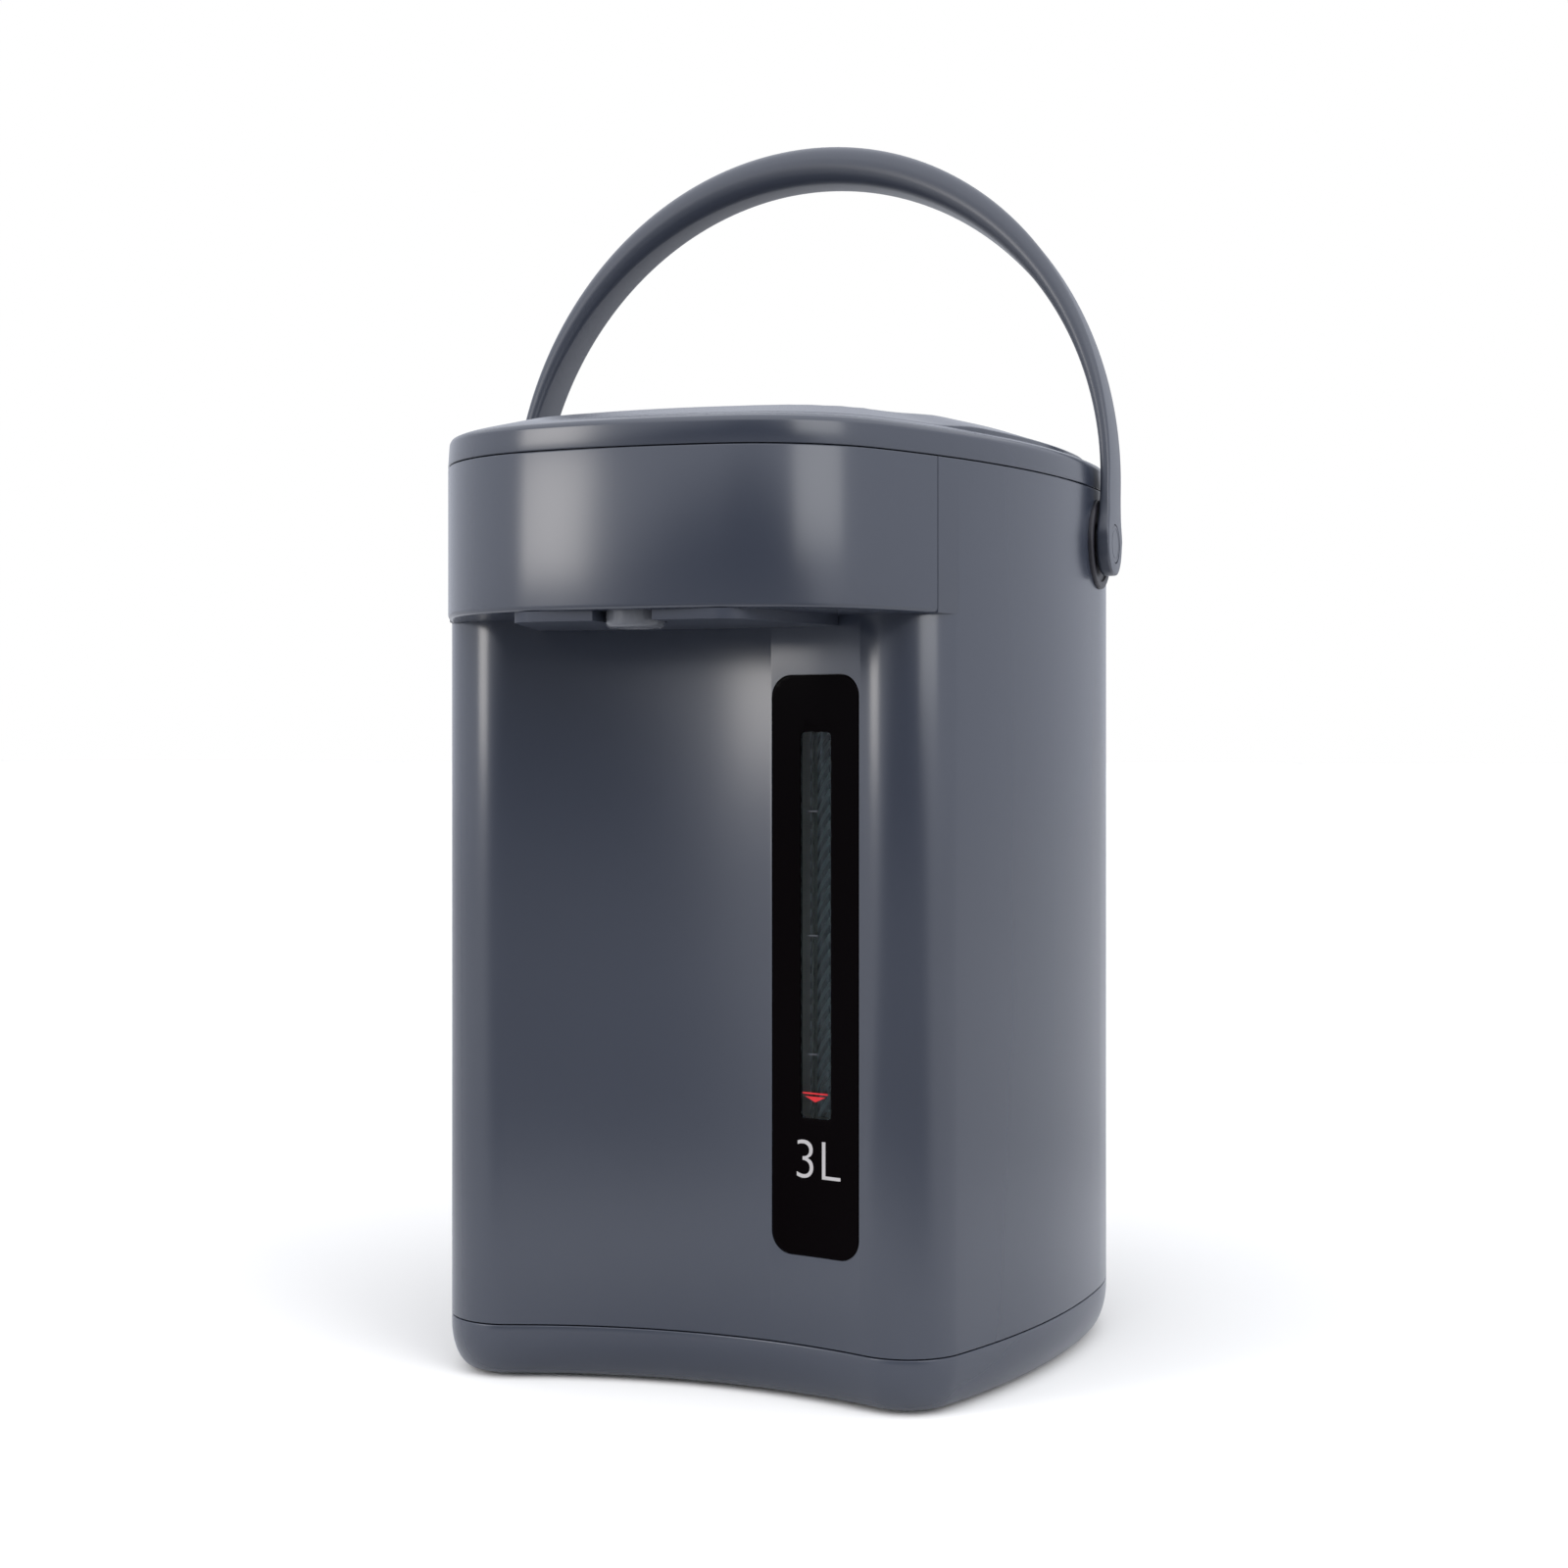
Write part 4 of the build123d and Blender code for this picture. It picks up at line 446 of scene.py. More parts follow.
def strip_places(gauge):
    """Places across the gauge where its plates are cut up, so that they bend smoothly."""
    strip = 1.5 * MM
    start = gauge.centre_x - gauge.panel_width / 2
    return [start + strip * step for step in range(1, int(gauge.panel_width / strip) + 1)]


# ---- Making meshes ------------------------------------------------------------------------


class Form:
    """Points and faces of one piece while it is being made.

    Where bend is given, it moves the points once the piece is cut up at the strips.
    """

    def __init__(self, bend=None, strips=()):
        self.points, self.faces = [], []
        self.bend, self.strips = bend, strips

    def ring(self, points):
        """Add points and return their numbers."""
        start = len(self.points)
        self.points.extend(Vector(point) for point in points)
        return list(range(start, len(self.points)))

    def skin(self, rings, closed=True, around=False):
        """Faces between each ring and the next, and round to the first where that is asked."""
        for one, other in zip(rings, [*rings[1:], rings[0]] if around else rings[1:]):
            for at in range(len(one) if closed else len(one) - 1):
                nxt = (at + 1) % len(one)
                self.faces.append((one[at], one[nxt], other[nxt], other[at]))

    def cap(self, ring):
        """One flat face over a ring."""
        self.faces.append(tuple(ring))

    def run_along(self, rows):
        """Closed section that runs along open rows, with a face at each end."""
        self.skin(rows, closed=False, around=True)
        self.cap([row[0] for row in rows])
        self.cap([row[-1] for row in rows])

    def fill(self, outer, holes=()):
        """Flat faces between an outer ring and its holes."""
        loops = [outer, *holes]
        numbers = [number for loop in loops for number in loop]
        for face in tessellate_polygon([[self.points[n] for n in loop] for loop in loops]):
            self.faces.append(tuple(numbers[corner] for corner in face))

    def slab(self, outline, low, high, soft_low=0.0, holes=(), place=None):
        """Plate between two heights, with its lower edge rounded and with holes through it."""
        put_at = place or (lambda x, y, z: (x, y, z))

        def walls(loop, sense):
            return [
                self.ring(put_at(x, y, z) for x, y in shrunk(loop, sense * inset))
                for inset, z in side_rows(low, high, soft_low, 0.0, (6, 6))
            ]

        outside = walls(outline, 1)
        self.skin(outside)
        inside = [walls(hole, -1) for hole in holes]
        for rows in inside:
            self.skin(rows)
        self.fill(outside[0], [rows[0] for rows in inside])
        self.fill(outside[-1], [rows[-1] for rows in inside])

    def lathe(self, profile, centre, axis="z", steps=64, solid=False, shape=None):
        """Turned piece from (radius, height) pairs: a solid one with two ends, or a closed section."""
        rows = []
        for radius, height in profile:
            row = [(x, y, height) for x, y in circle(radius, steps)]
            if axis == "x":
                row = [(z, x, y) for x, y, z in row]
            row = [[a + b for a, b in zip(centre, point)] for point in row]
            rows.append(self.ring([shape(*point) for point in row] if shape else row))
        self.skin(rows, around=not solid)
        if solid:
            self.cap(rows[0])
            self.cap(rows[-1])

    def mesh(self, name):
        """The mesh with its faces turned outwards."""
        made = bmesh.new()
        for point in self.points:
            made.verts.new(point)
        made.verts.ensure_lookup_table()
        for face in self.faces:
            made.faces.new([made.verts[number] for number in face])
        bmesh.ops.remove_doubles(made, verts=made.verts, dist=MERGE)
        cut_up(made, self.strips)
        if self.bend:
            for vert in made.verts:
                vert.co = self.bend(*vert.co)
        bmesh.ops.recalc_face_normals(made, faces=made.faces)
        mesh = bpy.data.meshes.new(name)
        made.to_mesh(mesh)
        made.free()
        return mesh

    def bent(self):
        """The form cut up and bent, whose points are then merged again, as a clean cutter needs."""
        mesh = self.mesh("bent")
        form = Form()
        form.points = [vert.co.copy() for vert in mesh.vertices]
        form.faces = [tuple(face.vertices) for face in mesh.polygons]
        bpy.data.meshes.remove(mesh)
        return form

    def piece(self, name, finish, nodes=(), slot=None, body=BODY, cutters=(), joined=()):
        """The finished piece, riding on its body and standing for its CAD nodes."""
        thing = bpy.data.objects.new(name, self.mesh(name))
        bpy.context.scene.collection.objects.link(thing)
        carve(thing, cutters)
        if joined:
            whole = bmesh.new()
            whole.from_mesh(thing.data)
            for form in joined:
                extra = form.mesh(f"{name}_extra")
                whole.from_mesh(extra)
                bpy.data.meshes.remove(extra)
            whole.to_mesh(thing.data)
            whole.free()
        dress(thing, finish, body, nodes)


def cut_up(made, strips):
    """Cut a flat mesh across at each strip's place."""
    for at in strips:
        whole = [*made.verts, *made.edges, *made.faces]
        bmesh.ops.bisect_plane(made, geom=whole, plane_co=(at, 0, 0), plane_no=(1, 0, 0))


def carve(thing, cutters):
    """Cut each form out of a piece."""
    for number, form in enumerate(cutters):
        tool = bpy.data.objects.new(f"cutter_{number}", form.mesh(f"cutter_{number}"))
        bpy.context.scene.collection.objects.link(tool)
        change = thing.modifiers.new("cut", "BOOLEAN")
        change.operation, change.solver, change.object = "DIFFERENCE", "EXACT", tool
        seen = thing.evaluated_get(bpy.context.evaluated_depsgraph_get())
        mesh = bpy.data.meshes.new_from_object(seen)
        thing.modifiers.clear()
        thing.data = mesh
        bpy.data.objects.remove(tool)


def dress(thing, finish, body=BODY, nodes=()):
    """Give a piece its finish, smooth shading with creases, its body and the nodes it stands for."""
    thing.data.materials.clear()
    thing.data.materials.append(bpy.data.materials[finish])
    thing.data.shade_smooth()
    thing.data.set_sharp_from_angle(angle=CREASE)
    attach(thing, body)
    if nodes:
        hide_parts(*nodes)


# ---- Finishes -----------------------------------------------------------------------------


FINISH_OF_SLOT = {
    "casing": "abs_moulded_satin",
    "handle": "abs_handle_moulded",
    "dark_trim": "nylon_moulded_matt",
    "base_dark": "polypropylene_base_moulded",
    "outlet_grey": "abs_outlet_glossy",
    "gauge_black": "polycarbonate_black_coated",
    "window_clear": "acrylic_pressed_smoked",
    "tube_glass": "borosilicate_glass_drawn",
    "backing_teal": "abs_moulded_satin",
    "panel_black": "polyester_overlay_screened",
    "button_grey": "abs_button_moulded",
    "rubber_black": "rubber_moulded",
    "silicone_clear": "silicone_hose_extruded",
    "silicone_grey": "silicone_seal_moulded",
    "stainless": "stainless_steel_drawn",
    "steel": "zinc_plated_steel_turned",
    "magnet": "ferrite_sintered",
    "inner_plastic": "polypropylene_moulded",
    "board_green": "fibreglass_board_laminated",
    "component_black": "phenolic_component_moulded",
    "contact_brass": "brass_turned",
    "felt": "felt_needled",
    "lead_sleeve": "silicone_lead_braided",
    "mica_band": "mica_band_laminated",
}


class POT_OT_finishes(bpy.types.Operator):
    """Make every finish and give the CAD nodes theirs"""

    bl_idname = "pot.finishes"
    bl_label = "Finishes"

    def execute(self, context):
        self.casings(context.scene.pot_colours)
        self.insides()
        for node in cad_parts.values():
            slot = node.material_slots[0]
            slot.material = bpy.data.materials[FINISH_OF_SLOT[slot.material.name]]
        return {"FINISHED"}

    def casings(self, tones):
        """Finishes of what shows from outside: name, colour, roughness, grain and its depth in mm."""
        satin = {"IOR": 1.53, "Specular IOR Level": 0.9}
        # Satin ABS from a spark-eroded tool: soft broad highlights and a barely visible grain.
        moulded("abs_moulded_satin", tones.casing, 0.22, 0.7, 0.001, **satin)
        # The same ABS, dulled a little by hands.
        moulded("abs_handle_moulded", tones.casing, 0.34, 0.7, 0.004, **satin)
        # The same ABS from a coarser tool: the spout panel hardly shines.
        moulded("abs_spout_textured", tones.casing, 0.5, 0.8, 0.01, IOR=1.53)
        # The same ABS a shade lighter, so that the buttons stand out from their panel.
        moulded("abs_button_moulded", rgba(tones.casing, 1.25)[:3], 0.34, 0.5, 0.006, IOR=1.53)
        # ABS from a polished tool: the nozzle has small sharp highlights.
        moulded("abs_outlet_glossy", tones.outlet, 0.2, 3.0, 0.003, IOR=1.53)
        # Glass-filled nylon: dark, matt and slightly grainy.
        moulded("nylon_moulded_matt", tones.trim, 0.42, 0.5, 0.012, IOR=1.53)
        # Plain polypropylene: a dull, waxy dark base.
        moulded("polypropylene_base_moulded", tones.base, 0.55, 0.8, 0.015, IOR=1.49)
        # Polycarbonate back-painted black with an anti-glare coating: deep black, hardly any reflection.
        coated = {"IOR": 1.585, "Specular IOR Level": 0.02}
        moulded("polycarbonate_black_coated", tones.gauge, 0.12, 25.0, 0.003, **coated)
        # Screen-printed polyester film: even black with a low sheen.
        moulded("polyester_overlay_screened", tones.gauge, 0.3, 0.4, 0.006, IOR=1.6)
        # Screen inks: opaque, flat and very thin.
        for name, colour in (("white", tones.figure), ("grey", tones.tick), ("red", tones.warning)):
            moulded(f"ink_{name}_screened", colour, 0.5, 0.3, 0.004)
        # Smoked acrylic: its anti-glare coating is in the low index, so it reflects as little as the panel.
        clear("acrylic_pressed_smoked", linear("E8F1F6"), 0.03, 1.2)

    def insides(self):
        """Finishes of what lies inside or underneath, with the same values in the same order."""
        # Rubber: black and dull, so the feet take no highlight.
        moulded("rubber_moulded", linear("1A1A1B"), 0.8, 0.6, 0.02, IOR=1.52)
        # Silicone: milky hose and grey seal, both with a soft sheen.
        moulded("silicone_hose_extruded", linear("C9CCCB"), 0.4, 1.5, 0.01, IOR=1.41)
        moulded("silicone_seal_moulded", linear("A9ABAC"), 0.5, 0.6, 0.01, IOR=1.41)
        # Natural polypropylene: warm white, slightly waxy.
        moulded("polypropylene_moulded", linear("E4E3DE"), 0.42, 0.8, 0.01, IOR=1.49)
        # Ferrite: dark grey, with a sandy sintered skin.
        moulded("ferrite_sintered", linear("2B2B2D"), 0.6, 0.3, 0.02, IOR=2.0)
        # Fibreglass laminate under green lacquer: a fine weave that glints a little.
        moulded("fibreglass_board_laminated", linear("1F5A3A"), 0.4, 0.5, 0.01, IOR=1.55)
        # Phenolic resin: nearly black, semi-matt component bodies.
        moulded("phenolic_component_moulded", linear("222225"), 0.45, 0.4, 0.01, IOR=1.6)
        # Needled felt: matt and hairy, with a pale bloom at its edges.
        moulded("felt_needled", linear("B9B4A8"), 0.95, 0.5, 0.15, **{"Sheen Weight": 0.4})
        # Braided sleeve over silicone leads: brick red with a fine rib.
        moulded("silicone_lead_braided", linear("B23A2E"), 0.6, 0.35, 0.03, IOR=1.45)
        # Laminated mica: a tan band with a flaky gloss.
        moulded("mica_band_laminated", linear("A98B5A"), 0.5, 2.0, 0.02, IOR=1.58)
        # Deep-drawn stainless steel: long fine lines up the wall stretch its highlights.
        metal("stainless_steel_drawn", linear("C4C6C8"), 0.24, 0.5, 25.0, 0.003)
        # Turned steel under zinc, and turned brass: small even glints.
        metal("zinc_plated_steel_turned", linear("B7B9BC"), 0.32, 0.6, 0.6, 0.003)
        metal("brass_turned", linear("C9A45C"), 0.28, 0.5, 0.5, 0.003)
        # Drawn borosilicate tube: clear, with a faint waviness.
        clear("borosilicate_glass_drawn", linear("EAF4F2"), 0.01, 1.47)


# ---- Casings ------------------------------------------------------------------------------


class POT_OT_body(bpy.types.Operator):
    """Make the body shell with the small side walls that carry the beak"""

    bl_idname = "pot.body"
    bl_label = "Body shell"

    def execute(self, context):
        sizes = context.scene.pot_sizes
        low, high = sizes.skirt_top + sizes.seam / 2, sizes.body_top - sizes.seam / 2
        section = side_rows(low, high, sizes.edge, sizes.edge)
        section += [(sizes.wall, high), (sizes.wall, low)]
        form = Form()
        rings = [form.ring(at_level(plan(sizes, False, inset), sizes, z)) for inset, z in section]
        form.skin(rings, around=True)
        form.piece(
            "body_shell",
            "abs_moulded_satin",
            nodes=["outer_shell"],
            slot="casing",
            cutters=self.cutters(sizes, context.scene.pot_gauge, context.scene.pot_handle),
            joined=[*self.wings(sizes, high), self.shelf(sizes)],
        )
        return {"FINISHED"}

    def wings(self, sizes, high):
        """Side walls from the body's corner to the beak's joint line, on both flanks."""
        shift = sizes.side_radius - sizes.rear_radius
        corner_x, corner_y = corner_of(sizes, False)[4]
        start = math.atan2(corner_y, corner_x + shift)
        root, thick = sizes.beak_bottom, 1.2 * sizes.wall
        section = side_rows(root, high, sizes.edge, sizes.edge) + [(thick, high), (thick, root)]
        made = []
        for side in (1, -1):
            wing, rows = Form(), []
            for inset, z in section:
                radius = sizes.side_radius - inset
                end = -math.asin(sizes.parting_y / radius)
                run = arc((-shift, 0), radius, start, end, 8, last=True)
                rows.append(wing.ring(at_level([(side * x, y) for x, y in run], sizes, z)))
            wing.run_along(rows)
            made.append(wing)
        return made

    def shelf(self, sizes):
        """Strip of floor between the hollow front and the beak's joint line."""
        reach, half_width = 0.9 * sizes.hollow_depth, 52 * MM
        front = sorted(
            (x, y)
            for x, y in plan(sizes, False)
            if -sizes.parting_y < y < -reach and abs(x) < half_width
        )
        strip = [(front[0][0], -sizes.parting_y), (front[-1][0], -sizes.parting_y)]
        strip += reversed(front[1:-1])
        shelf = Form()
        shelf.slab(
            [(x, y + sizes.axis_y) for x, y in strip],
            sizes.beak_bottom,
            sizes.beak_bottom + sizes.wall,
        )
        return shelf

    def cutters(self, sizes, gauge, handle):
        """Window's opening, panel's pocket, the handle's bore and the inlet's opening."""
        opening = Form()
        opening.slab(
            around_gauge(gauge, "slot", 2.2 * MM, 3.5 * MM),
            -sizes.hollow_depth - CUT_SPARE,
            -sizes.hollow_depth + CUT_SPARE,
            place=lambda x, y, z: (x, z + sizes.axis_y, y),
        )
        pocket_depth, panel_gap = 1.3 * MM, 0.2 * MM
        pocket = Form(bend_to_hollow(sizes), strip_places(gauge))
        pocket.slab(around_gauge(gauge, "panel", panel_gap), -3 * MM, pocket_depth)
        bore, half_length = handle.neck_radius + 0.2 * MM, 130 * MM
        hubs = Form()
        ends = [(bore, -half_length), (bore, half_length)]
        hubs.lathe(ends, (0, sizes.axis_y, handle.pivot_z), "x", solid=True)
        inlet_low, inlet_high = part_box("power_inlet")
        inlet = Form()
        inlet.slab(
            around_node("power_inlet", 0.4 * MM, 4.2 * MM, "z"),
            inlet_low.y,
            inlet_high.y + CUT_SPARE,
            place=lambda x, y, z: (x, z, y),
        )
        return [opening, pocket.bent(), hubs, inlet]


class POT_OT_beak(bpy.types.Operator):
    """Make the bowed cover of the beak over the cup space"""

    bl_idname = "pot.beak"
    bl_label = "Beak cover"

    def execute(self, context):
        sizes = context.scene.pot_sizes
        parting = sizes.parting_y + sizes.seam
        low, high = sizes.beak_bottom, sizes.body_top - sizes.seam / 2
        section = side_rows(low, high, sizes.beak_edge, sizes.edge, (8, 3))
        section += [(sizes.wall, high), (sizes.wall, low)]
        form = Form()
        form.run_along(
            [
                form.ring(at_level(beak_front(sizes, inset, parting), sizes, z))
                for inset, z in section
            ]
        )
        # Floor from the wall back to the body, with the nozzle's way through
        count = SEGMENTS["front"] + SEGMENTS["corner"]
        half = half_plan(sizes, False, -sizes.seam)[:count]
        back_half_width, way_radius = 76 * MM, 9.9 * MM
        back = [(x, min(y, -parting)) for x, y in half if x < back_half_width]
        back = [(-x, y) for x, y in reversed(back[1:])] + back
        outline = [*reversed(beak_front(sizes, sizes.wall, parting)), *reversed(back)]
        nozzle_low, nozzle_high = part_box("nozzle")
        nozzle = (nozzle_low + nozzle_high) / 2
        form.slab(
            [(x, y + sizes.axis_y) for x, y in outline],
            low,
            low + sizes.wall,
            holes=[circle(way_radius, 48, (nozzle.x, nozzle.y))],
        )
        form.piece("beak_cover", "abs_moulded_satin", nodes=["head_cover"], slot="casing")
        return {"FINISHED"}


class POT_OT_rim(bpy.types.Operator):
    """Make the top frame with its sloping rim"""

    bl_idname = "pot.rim"
    bl_label = "Top frame"

    def execute(self, context):
        sizes = context.scene.pot_sizes
        low = sizes.body_top + sizes.seam / 2
        floor_low = sizes.floor_top - sizes.floor_thick
        lip_low = low - sizes.lip_reach
        lip = [(sizes.lip_inside, floor_low), (sizes.lip_inside, lip_low)]
        lip += [(sizes.lip_outside, lip_low), (sizes.lip_outside, low)]
        form = Form()

        def level(inset, z):
            return form.ring(at_level(plan(sizes, True, inset), sizes, z))

        rows = [level(inset, low + drop) for inset, drop in reversed(quarter_round(sizes.edge, 3))]
        # Rounding from the upright side on to the slope
        side = at_level(plan(sizes, True, sizes.rim_draft), sizes, sizes.rim_top)
        slope = crown(sizes, sizes.rim_soft)
        steps, side_start = 8, Vector((0, 0, MM))
        for step in range(steps + 1):
            share = step / steps
            rows.append(
                form.ring(
                    (1 - share) ** 2 * (Vector(edge) - side_start)
                    + 2 * share * (1 - share) * Vector(edge)
                    + share**2 * Vector(inner)
                    for edge, inner in zip(side, slope)
                )
            )
        # Slope, small rounding and upright face beside the deck, then the floor round its mouth
        slope_rows, inner = (2.2, 3.4, 4.8, 6.3), sizes.rim_width + 0.4 * MM
        rows += [form.ring(crown(sizes, inset * MM)) for inset in slope_rows]
        rows.append(form.ring(crown(sizes, inner - 0.1 * MM, -0.06 * MM)))
        rows.append(form.ring(crown(sizes, inner, -0.3 * MM)))
        rows.append(form.ring((x, y, sizes.floor_top) for x, y, z in crown(sizes, inner)))
        outline = plan(sizes, True, inner)
        mouth = [Vector(point).normalized() * sizes.collar_radius for point in outline]
        rows += [form.ring(at_level(mouth, sizes, z)) for z in (sizes.floor_top, floor_low)]
        rows += [level(inset, z) for inset, z in lip]
        form.skin(rows, around=True)
        self.lugs(form, sizes)
        form.piece("rim_frame", "abs_moulded_satin", nodes=["top_frame"], slot="casing")
        return {"FINISHED"}

    def lugs(self, form, sizes):
        """Lugs that hold the lid's hinge pin."""
        width, height, corner, bore = 10 * MM, 6.8 * MM, 1 * MM, 2.02 * MM
        near, far = 30.3 * MM, 34.3 * MM
        pin_low, pin_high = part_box("hinge_pin")
        pin = (pin_low + pin_high) / 2
        outline = rounded_box(width, height, corner, (pin.y, sizes.floor_top + height / 2))
        hole = circle(bore, 32, (pin.y, pin.z))
        for ends in ((near, far), (-far, -near)):
            form.slab(outline, *ends, holes=[hole], place=lambda x, y, z: (z, x, y))


class POT_OT_deck(bpy.types.Operator):
    """Make the sloping deck round the lid, with the recess of the control panel"""

    bl_idname = "pot.deck"
    bl_label = "Deck"

    def execute(self, context):
        sizes = context.scene.pot_sizes
        wall = 2 * MM
        lid_low, lid_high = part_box("lid_cap")
        hole = (lid_high.x - lid_low.x) / 2 + 1.1 * MM
        self.cover(sizes, wall).piece(
            "deck_cover",
            "abs_moulded_satin",
            nodes=["top_deck"],
            slot="casing",
            cutters=self.cutters(sizes, hole, lid_high.y),
            joined=[self.lid_wall(sizes, hole, wall), self.posts(sizes)],
        )
        return {"FINISHED"}

    def cover(self, sizes, wall):
        """The deck itself, which slopes up from the rim to its flat."""
        outer, crest = sizes.rim_width + 0.7 * MM, sizes.crown_run
        step_start, step_run = 102 * MM, 22 * MM
        form = Form()

        def wall_foot(inset):
            return form.ring((x, y, sizes.floor_top) for x, y, z in crown(sizes, inset))

        def raised(inset, share, drop=0.0):
            """Ring that stands above the rim at the flanks, and is flush with it at the front."""
            ring = []
            for x, y, z in crown(sizes, inset):
                along = smooth_step((y - sizes.axis_y + step_start) / step_run)
                ring.append((x, y, z + sizes.deck_step * share * along - drop))
            return form.ring(ring)

        # Rows in mm: up the slope from the outer edge, then across the crest with the step's share left
        slope_rows = (0.5, 2, 4, 6.5, 9, 11.5)
        crest_rows = ((-0.6, 1), (0, 1), (0.7, 1), (3, 1), (5, 1), (7, 0.85), (9, 0.4), (11, 0.08), (12, 0))
        top = [wall_foot(outer), raised(outer, 0.75, 0.3 * MM), raised(outer + 0.1 * MM, 0.9, 0.08 * MM)]
        top += [raised(outer + inset * MM, 1) for inset in slope_rows]
        top += [raised(crest + inset * MM, share) for inset, share in crest_rows]
        flat = crest + crest_rows[-1][0] * MM
        under = [wall_foot(outer + wall)]
        under += [
            form.ring(crown(sizes, inset, -sizes.deck_roof)) for inset in (outer + wall, crest, flat)
        ]
        form.skin([*reversed(top), *under])
        form.fill(top[-1])
        form.fill(under[-1])
        return form

    def cutters(self, sizes, hole, lid_back):
        """The lid's opening, its hinge's slot, the panel's recess and the ways of the keys."""
        low, high = sizes.floor_top - MM, sizes.deck_top + 5 * MM
        opening, slot, recess = Form(), Form(), Form()
        opening.slab(circle(hole, 128, (0, sizes.axis_y)), low, high)
        slot_width, slot_length = 61.2 * MM, 40 * MM
        slot_middle = lid_back + 0.8 * MM - slot_length / 2
        slot.slab(rounded_box(slot_width, slot_length, 0.3 * MM, (0, slot_middle), 2), low, high)
        recess.slab(
            around_node("control_overlay", 0.4 * MM, 9.2 * MM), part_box("control_overlay")[0].z, high
        )
        ways = []
        for key in ("dispense_button", "unlock_button", "reboil_button"):
            # The key's flange under the deck is wider than its way through the deck.
            flange_spare = 0.9 * MM
            way = Form()
            way.slab(around_node(key, -flange_spare, steps=12), low, high)
            ways.append(way)
        return [opening, slot, recess, *ways]

    def lid_wall(self, sizes, hole, wall):
        """Round wall about the lid, open at the hinge."""
        start, sweep, steps = 121, 298, 96
        low, high = sizes.floor_top, sizes.deck_top - sizes.deck_roof
        section = [(hole, low), (hole + wall, low), (hole + wall, high), (hole, high)]
        ring = Form()
        sections = []
        for step in range(steps + 1):
            turn = math.radians(start + sweep * step / steps)
            sections.append(
                ring.ring(
                    (radius * math.cos(turn), radius * math.sin(turn) + sizes.axis_y, z)
                    for radius, z in section
                )
            )
        ring.skin(sections)
        ring.cap(sections[0])
        ring.cap(sections[-1])
        return ring

    def posts(self, sizes):
        """Posts of the deck's screws."""
        bore, radius = 1.55 * MM, 4.2 * MM
        low, high = sizes.floor_top, sizes.deck_top - sizes.deck_roof
        profile = [(bore, low), (radius, low), (radius, high), (bore, high)]
        places = ((66, -62), (-66, -62), (60, 56), (-60, 56))
        posts = Form()
        for x, y in places:
            posts.lathe(profile, (x * MM, y * MM + sizes.axis_y, 0), steps=32)
        return posts


class POT_OT_skirt(bpy.types.Operator):
    """Make the base skirt that curves in at its foot"""

    bl_idname = "pot.skirt"
    bl_label = "Base skirt"

    def execute(self, context):
        sizes = context.scene.pot_sizes
        high = sizes.skirt_top - sizes.seam / 2
        steps = 14
        foot = []
        for step in range(steps + 1):
            turn = QUARTER * step / steps
            z = sizes.skirt_bottom + sizes.tuck_height * (1 - math.cos(turn))
            foot.append((sizes.tuck_in * (1 - math.sin(turn)), z))
        lip_high = high + sizes.lip_reach
        section = [*foot, *[(inset, high - drop) for inset, drop in quarter_round(sizes.edge, 3)]]
        section += [(sizes.lip_outside, high), (sizes.lip_outside, lip_high)]
        section += [(sizes.lip_inside, lip_high), (sizes.lip_inside, high - MM)]
        section += [(inset + sizes.wall, z) for inset, z in reversed(foot)]
        form = Form()
        rows = [form.ring(at_level(plan(sizes, False, inset), sizes, z)) for inset, z in section]
        form.skin(rows, around=True)
        # Bosses for the base screws
        boss_radius, bore, boss_low = 5 * MM, 1.62 * MM, 5.5 * MM
        places = ((82, 24), (-82, 24), (62, -87), (-62, -87))
        for x, y in places:
            centre = (x * MM, y * MM + sizes.axis_y)
            form.slab(circle(boss_radius, 40, centre), boss_low, high, holes=[circle(bore, 24, centre)])
        form.piece("base_skirt_shell", "abs_moulded_satin", nodes=["base_skirt"], slot="casing")
        return {"FINISHED"}


